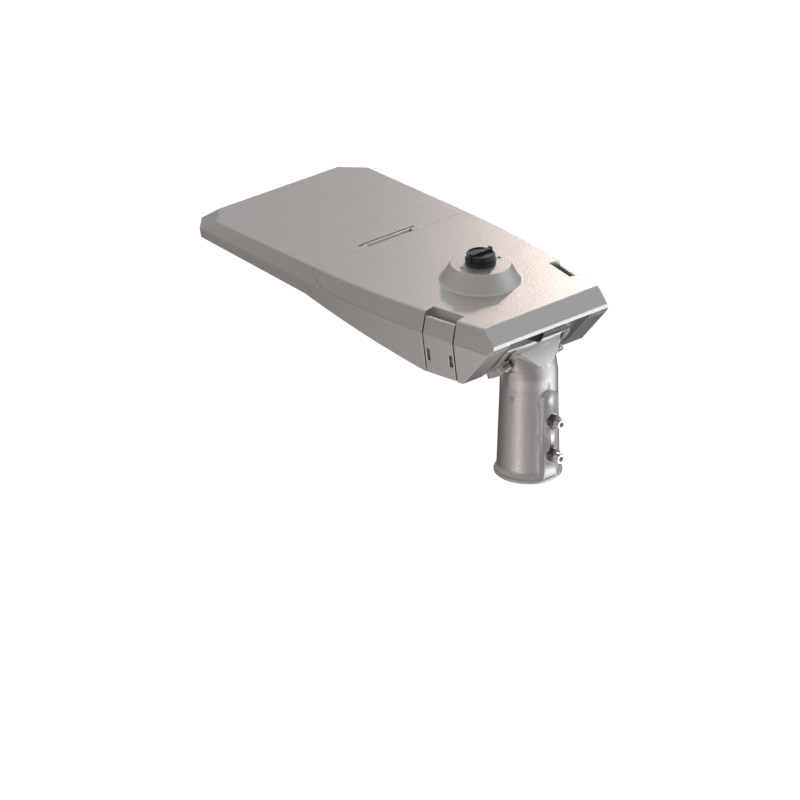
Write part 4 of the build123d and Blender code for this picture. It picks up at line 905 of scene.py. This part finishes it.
class StreetlightFasteners(bpy.types.PropertyGroup):
    """Screws, bolts, nuts and pins."""

    steel: colour_setting("Steel", "Colour of the stainless steel", (0.74, 0.73, 0.71))
    small_steel: colour_setting("Small screws", "Colour of the small screws", (0.48, 0.47, 0.46))
    dark_steel: colour_setting("Dark steel", "Colour of the blackened nuts", (0.16, 0.155, 0.15))
    bolt_angle: number_setting(
        "Bolt angle", "Angle of the tilt bolts below level", math.radians(41.5), subtype="ANGLE"
    )
    bolt_flats: length_setting("Bolt flats", "Width of the tilt bolts across flats", 0.013)
    bolt_head: length_setting("Bolt head", "Height of the tilt bolts' heads", 0.008)
    bolt_shank: length_setting("Bolt shank", "Radius of the tilt bolts' shanks", 0.004)
    clamp_head: length_setting("Clamp screw head", "Height of the clamp screws' heads", 0.0095)
    pitch: length_setting("Pitch", "Thread pitch of the large screws", 0.0015)
    fine_pitch: length_setting("Fine pitch", "Thread pitch of the small screws", 0.0006)


class StreetlightOptics(bpy.types.PropertyGroup):
    """Glass, lenses and light sources."""

    glass: colour_setting("Glass", "Tint of the tempered glass", (0.96, 0.99, 0.98))
    lens: colour_setting("Lens", "Tint of the lens plates", (0.92, 0.94, 0.96))
    phosphor: colour_setting("Phosphor", "Colour of an unlit light source", (0.90, 0.66, 0.12))


class StreetlightStage(bpy.types.PropertyGroup):
    """Floor, lights and camera."""

    floor: colour_setting("Floor", "Colour of the floor", (0.93, 0.93, 0.93))
    floor_glow: number_setting("Floor glow", "Light that the floor gives back", 0.6)
    floor_height: length_setting("Floor height", "Height of the floor", -2.5)
    room_light: number_setting("Room light", "Strength of the light all round", 1.0)
    room_high: colour_setting("Room above", "Light from above", (0.50, 0.49, 0.485))
    room_low: colour_setting("Room below", "Light from below", (0.03, 0.03, 0.03))
    room_back: colour_setting("Back wall", "Light from high behind the head", (0.12, 0.133, 0.145))
    room_wall: colour_setting("Right wall", "Light from the right", (0.20, 0.25, 0.28))
    room_corner: colour_setting("Right corner", "Light from low on the right", (2.2, 2.25, 2.35))
    room_ground: colour_setting("Ground", "Light from the ground in front", (0.74, 0.74, 0.76))
    room_left: colour_setting("Left wall", "Light from the left", (0.15, 0.13, 0.11))
    key: number_setting("Key light", "Power of the key light", 3.8, unit="POWER")
    key_colour: colour_setting("Key colour", "Colour of the key light", (1.0, 0.83, 0.753))
    warm: number_setting("Low light", "Power of the low warm light", 4.8, unit="POWER")
    warm_colour: colour_setting("Low light colour", "Colour of the low light", (1.0, 0.80, 0.68))


# Operators

# the patches of light in the room: the way to each, the cosines at its full middle and at its rim,
# and the setting that holds its colour
ROOM_PATCHES = (
    ((0.55, -0.50, 0.67), 0.95, 0.20, "room_back"),
    ((-0.34, -0.92, 0.18), 0.97, 0.75, "room_wall"),
    ((-0.67, -0.60, -0.43), 0.97, 0.70, "room_corner"),
    ((-0.15, 0.50, -0.85), 0.95, 0.45, "room_ground"),
    ((0.67, 0.73, 0.04), 0.97, 0.55, "room_left"),
)

# the heights of a view direction between which the room turns from its lower to its upper colour
HORIZON = (-0.35, 0.45)

# half the floor's width
FLOOR_HALF = 20.0

# what the two lights aim at
PEDESTAL = (0.09, 0.0, 0.25)
SOCKET = (0.0, 0.0, 0.08)

# the camera: its lens in millimetres on its sensor, its place and its three directions
LENS = 261.78
SENSOR = 36.0
CAMERA_PLACE = (-4.70401, 4.44632, 3.20708)
RIGHTWARD = Vector((-0.668198, -0.743981, 0.001895))
UPWARD = Vector((0.323564, -0.288311, 0.901212))
FORWARD = Vector((0.669939, -0.602801, -0.433374))


class Builder(bpy.types.Operator):
    """What every operator here shares."""

    bl_options = {"REGISTER", "UNDO"}


def add_light(name, aim, toward, distance, size):
    """A round light that faces a point from a direction; gives its data."""
    aim = Vector(aim)
    data = bpy.data.lights.new(name, "AREA")
    data.shape = "DISK"
    data.size = size
    light = linked(name, data)
    light.location = aim + Vector(toward).normalized() * distance
    light.rotation_mode = "QUATERNION"
    light.rotation_quaternion = (aim - light.location).to_track_quat("-Z", "Y")
    return data


def lobe(tree, direction, toward, narrow, wide):
    """How far a direction lies towards another one, as a soft patch between two cosines."""
    return spread(tree, cosine(tree, direction, Vector(toward).normalized()), wide, narrow)


def studio_room():
    """Soft room with pale walls on some sides, dim behind the object, and white for the camera itself."""
    look = bpy.context.scene.streetlight_stage
    world = bpy.data.worlds.new("room")
    world.use_nodes = True
    tree = world.node_tree
    tree.nodes.clear()
    direction = put(tree, "ShaderNodeTexCoord").outputs["Generated"]
    height = put(tree, "ShaderNodeSeparateXYZ", {"Vector": direction}).outputs["Z"]
    rise = spread(tree, height, *HORIZON)
    colour = blended(tree, rise, rgba(look.room_low), rgba(look.room_high))
    for toward, narrow, wide, tint in ROOM_PATCHES:
        patch = lobe(tree, direction, toward, narrow, wide)
        colour = blended(tree, patch, colour, rgba(getattr(look, tint)), "ADD")
    light = put(tree, "ShaderNodeBackground", {"Color": colour, "Strength": look.room_light})
    white = put(tree, "ShaderNodeBackground", {"Color": (1, 1, 1, 1), "Strength": 1.0})
    seen = put(tree, "ShaderNodeLightPath").outputs["Is Camera Ray"]
    both = put(tree, "ShaderNodeMixShader", {0: seen, 1: light.outputs[0], 2: white.outputs[0]})
    put(tree, "ShaderNodeOutputWorld", {"Surface": both.outputs[0]})
    return world


class STREETLIGHT_OT_stage(Builder):
    """Pale floor, soft room, two lights and the camera"""

    bl_idname = "streetlight.stage"
    bl_label = "Stage"

    def execute(self, context):
        look = context.scene.streetlight_stage
        data = bpy.data.meshes.new("floor")
        corners = [(x * FLOOR_HALF, y * FLOOR_HALF, 0) for x, y in ((-1, -1), (1, -1), (1, 1), (-1, 1))]
        data.from_pydata(corners, [], [(0, 1, 2, 3)])
        data.materials.append(pale_floor())
        floor = linked("floor", data)
        floor.location.z = look.floor_height
        floor.visible_diffuse = False
        floor.visible_glossy = False
        context.scene.world = studio_room()

        key = add_light("key", PEDESTAL, (0.533, -0.749, 0.403), distance=1.5, size=0.10)
        key.energy = look.key
        key.color = look.key_colour
        low = add_light("low_strip", SOCKET, (-0.141, 0.890, -0.434), distance=2.6, size=0.30)
        low.energy = look.warm
        low.color = look.warm_colour

        data = bpy.data.cameras.new("camera")
        data.lens = LENS
        data.sensor_width = SENSOR
        camera = linked("camera", data)
        turn = Matrix((RIGHTWARD, UPWARD, -FORWARD)).transposed()
        camera.matrix_world = Matrix.Translation(CAMERA_PLACE) @ turn.to_4x4()
        context.scene.camera = camera
        context.scene.view_settings.view_transform = "Standard"
        return {"FINISHED"}


class STREETLIGHT_OT_castings(Builder):
    """Coat on the adaptor, the housing, the cover, the latches and the glass frame"""

    bl_idname = "streetlight.castings"
    bl_label = "Castings"

    def execute(self, context):
        coat = silver_coat()
        dress(coat, CASTINGS)
        neck = carved("adaptor_casting", neck_cutter(context.scene.streetlight_neck))
        add_piece("pole_adaptor", neck, coat, "adaptor", "adaptor_casting")
        return {"FINISHED"}


class STREETLIGHT_OT_clamp_screws(Builder):
    """Socket-head clamp screws and their lock nuts on the adaptor"""

    bl_idname = "streetlight.clamp_screws"
    bl_label = "Clamp screws"

    def execute(self, context):
        look = context.scene.streetlight_fasteners
        steel = bright_metal("screw_steel", look.steel)
        black = bright_metal("black_steel", look.dark_steel)
        outward = Vector((-1, 0, 0))
        screws = bmesh.new()
        for seat, length, head in islands("pole_screws", outward):
            foot = length - look.clamp_head
            key = head * KEY_FLATS
            floor = length - head * KEY_DEPTH
            rows = shank_rows(head * CLAMP_SHANK, look.pitch, CLAMP_TIP, foot)
            rows += turned(head, foot, CAP_HEAD_FOOT) + turned(head, length, CAP_HEAD_TOP)
            rows.append((hexagon(key * KEY_MOUTH, key * KEY_CIRCLE), length))
            rows += [(hexagon(key), length - head * KEY_EDGE), (hexagon(key), floor)]
            loft(screws, rows + turned(key, floor, DRILL_POINT), seat)
        add_piece("socket_head_screws", screws, steel, "adaptor", "pole_screws")
        nuts = bmesh.new()
        for seat, length, reach in islands("pole_lock_nuts", outward):
            flats = reach * 2
            hole = flats * NUT_HOLE
            rows = [(ring(hole), 0.0), (hexagon(flats), 0.0)]
            rows += chamfered_hexagon(flats, length * NUT_FOOT, length)
            rows += turned(hole, length, NUT_MOUTH)
            loft(nuts, rows, seat)
        add_piece("chamfered_lock_nuts", nuts, black, "adaptor", "pole_lock_nuts")
        return {"FINISHED"}


class STREETLIGHT_OT_tilt_bolts(Builder):
    """Hex bolts that hold the head's tilt, on their shaped washers"""

    bl_idname = "streetlight.tilt_bolts"
    bl_label = "Tilt bolts"

    def execute(self, context):
        look = context.scene.streetlight_fasteners
        steel = bright_metal("bolt_steel", look.steel)
        outward = Vector((-math.cos(look.bolt_angle), 0, -math.sin(look.bolt_angle)))
        bolts = bmesh.new()
        flats = look.bolt_flats
        for seat, length, _ in islands("tilt_bolts", outward):
            foot = length - look.bolt_head
            collar = turned(flats, foot, BOLT_COLLAR)
            rows = shank_rows(look.bolt_shank, look.pitch, BOLT_TIP, foot) + collar
            rows += chamfered_hexagon(flats, collar[-1][1], length) + turned(flats, length, BOLT_DISH)
            loft(bolts, rows, seat)
        add_piece("saddle_bolts", bolts, steel, "housing", "tilt_bolts")
        return {"FINISHED"}


class STREETLIGHT_OT_small_screws(Builder):
    """Pan-head screws of the cover, the tray, the driver, the frame and the lens plates"""

    bl_idname = "streetlight.small_screws"
    bl_label = "Small screws"

    def execute(self, context):
        look = context.scene.streetlight_fasteners
        steel = bright_metal("pan_head_steel", look.small_steel)
        for node, (name, facing, body) in SMALL_SCREWS.items():
            mesh = bmesh.new()
            for seat, length, head in islands(node, facing):
                foot = length - head * PAN_HEIGHT
                rows = shank_rows(head * SCREW_SHANK, look.fine_pitch, SCREW_TIP, foot)
                rows += turned(head, foot, PAN_HEAD)
                for arm, half, up in CROSS_RECESS:
                    rows.append((cross(head * arm, head * half), foot + head * up))
                loft(mesh, rows, seat)
            add_piece(name, mesh, steel, body, node)
        return {"FINISHED"}


class STREETLIGHT_OT_pins(Builder):
    """Hinge pin, latch pins, glass clips and bolt washers"""

    bl_idname = "streetlight.pins"
    bl_label = "Pins and clips"

    def execute(self, context):
        look = context.scene.streetlight_fasteners
        dress(bright_metal("drawn_steel", look.steel), PINS)
        return {"FINISHED"}


class STREETLIGHT_OT_control_socket(Builder):
    """Twist-lock receptacle on the cover, its contacts and its cap"""

    bl_idname = "streetlight.control_socket"
    bl_label = "Control socket"

    def execute(self, context):
        cap = moulding("cap_black", Coat_Weight=0.3, Coat_Roughness=0.28)
        dress(cap, ("receptacle_cap",))
        dress(moulding("receptacle_black"), ("receptacle", "receptacle_nut"))
        dress(bright_metal("contact_brass", (0.72, 0.50, 0.20)), ("receptacle_contacts",))
        return {"FINISHED"}


class STREETLIGHT_OT_seals(Builder):
    """Rubber seals of the cover, the frame, the glass and the receptacle"""

    bl_idname = "streetlight.seals"
    bl_label = "Seals"

    def execute(self, context):
        dress(moulding("seal_rubber"), SEALS)
        return {"FINISHED"}


class STREETLIGHT_OT_optics(Builder):
    """Glass, lens plates, light boards and their light sources"""

    bl_idname = "streetlight.optics"
    bl_label = "Optics"

    def execute(self, context):
        dress(tempered_glass(), ("glass",))
        dress(clear_acrylic(), LENSES)
        dress(circuit_board(), BOARDS)
        dress(phosphor_chip(), CHIPS)
        return {"FINISHED"}


class STREETLIGHT_OT_gear(Builder):
    """Tray, driver, surge protector, terminal block and cable gland"""

    bl_idname = "streetlight.gear"
    bl_label = "Gear"

    def execute(self, context):
        dress(zinc_sheet(), ("gear_tray",))
        dress(moulding("driver_case", Metallic=0.6), ("driver",))
        dress(moulding("protector_case"), ("surge_protector",))
        dress(moulding("terminal_grey"), ("terminal_block",))
        dress(moulding("gland_black"), ("cable_gland",))
        return {"FINISHED"}


STEPS = (
    STREETLIGHT_OT_stage,
    STREETLIGHT_OT_castings,
    STREETLIGHT_OT_clamp_screws,
    STREETLIGHT_OT_tilt_bolts,
    STREETLIGHT_OT_small_screws,
    STREETLIGHT_OT_pins,
    STREETLIGHT_OT_control_socket,
    STREETLIGHT_OT_seals,
    STREETLIGHT_OT_optics,
    STREETLIGHT_OT_gear,
)


class STREETLIGHT_PT_parts(bpy.types.Panel):
    """The street light's settings and steps"""

    bl_label = "Street light head"
    bl_idname = "STREETLIGHT_PT_parts"
    bl_space_type = "VIEW_3D"
    bl_region_type = "UI"
    bl_category = "Street Light"

    def draw(self, context):
        for group in SETTINGS:
            box = self.layout.box()
            settings = getattr(context.scene, group)
            for key in settings.bl_rna.properties.keys():
                if key not in ("rna_type", "name"):
                    box.prop(settings, key)
        for step in STEPS:
            self.layout.operator(step.bl_idname)


SETTINGS = {
    "streetlight_coat": StreetlightCoat,
    "streetlight_neck": StreetlightNeck,
    "streetlight_fasteners": StreetlightFasteners,
    "streetlight_optics": StreetlightOptics,
    "streetlight_stage": StreetlightStage,
}


def register():
    """Adds the settings, the steps and the panel."""
    for name, group in SETTINGS.items():
        bpy.utils.register_class(group)
        setattr(bpy.types.Scene, name, PointerProperty(type=group))
    for kind in (*STEPS, STREETLIGHT_PT_parts):
        bpy.utils.register_class(kind)


def unregister():
    """Takes them away again."""
    for kind in reversed((*STEPS, STREETLIGHT_PT_parts)):
        bpy.utils.unregister_class(kind)
    for name, group in reversed(SETTINGS.items()):
        delattr(bpy.types.Scene, name)
        bpy.utils.unregister_class(group)


def main():
    """Builds the whole scene."""
    register()
    bpy.ops.streetlight.stage()
    bpy.ops.streetlight.castings()
    bpy.ops.streetlight.clamp_screws()
    bpy.ops.streetlight.tilt_bolts()
    bpy.ops.streetlight.small_screws()
    bpy.ops.streetlight.pins()
    bpy.ops.streetlight.control_socket()
    bpy.ops.streetlight.seals()
    bpy.ops.streetlight.optics()
    bpy.ops.streetlight.gear()


if __name__ == "__main__":
    main()
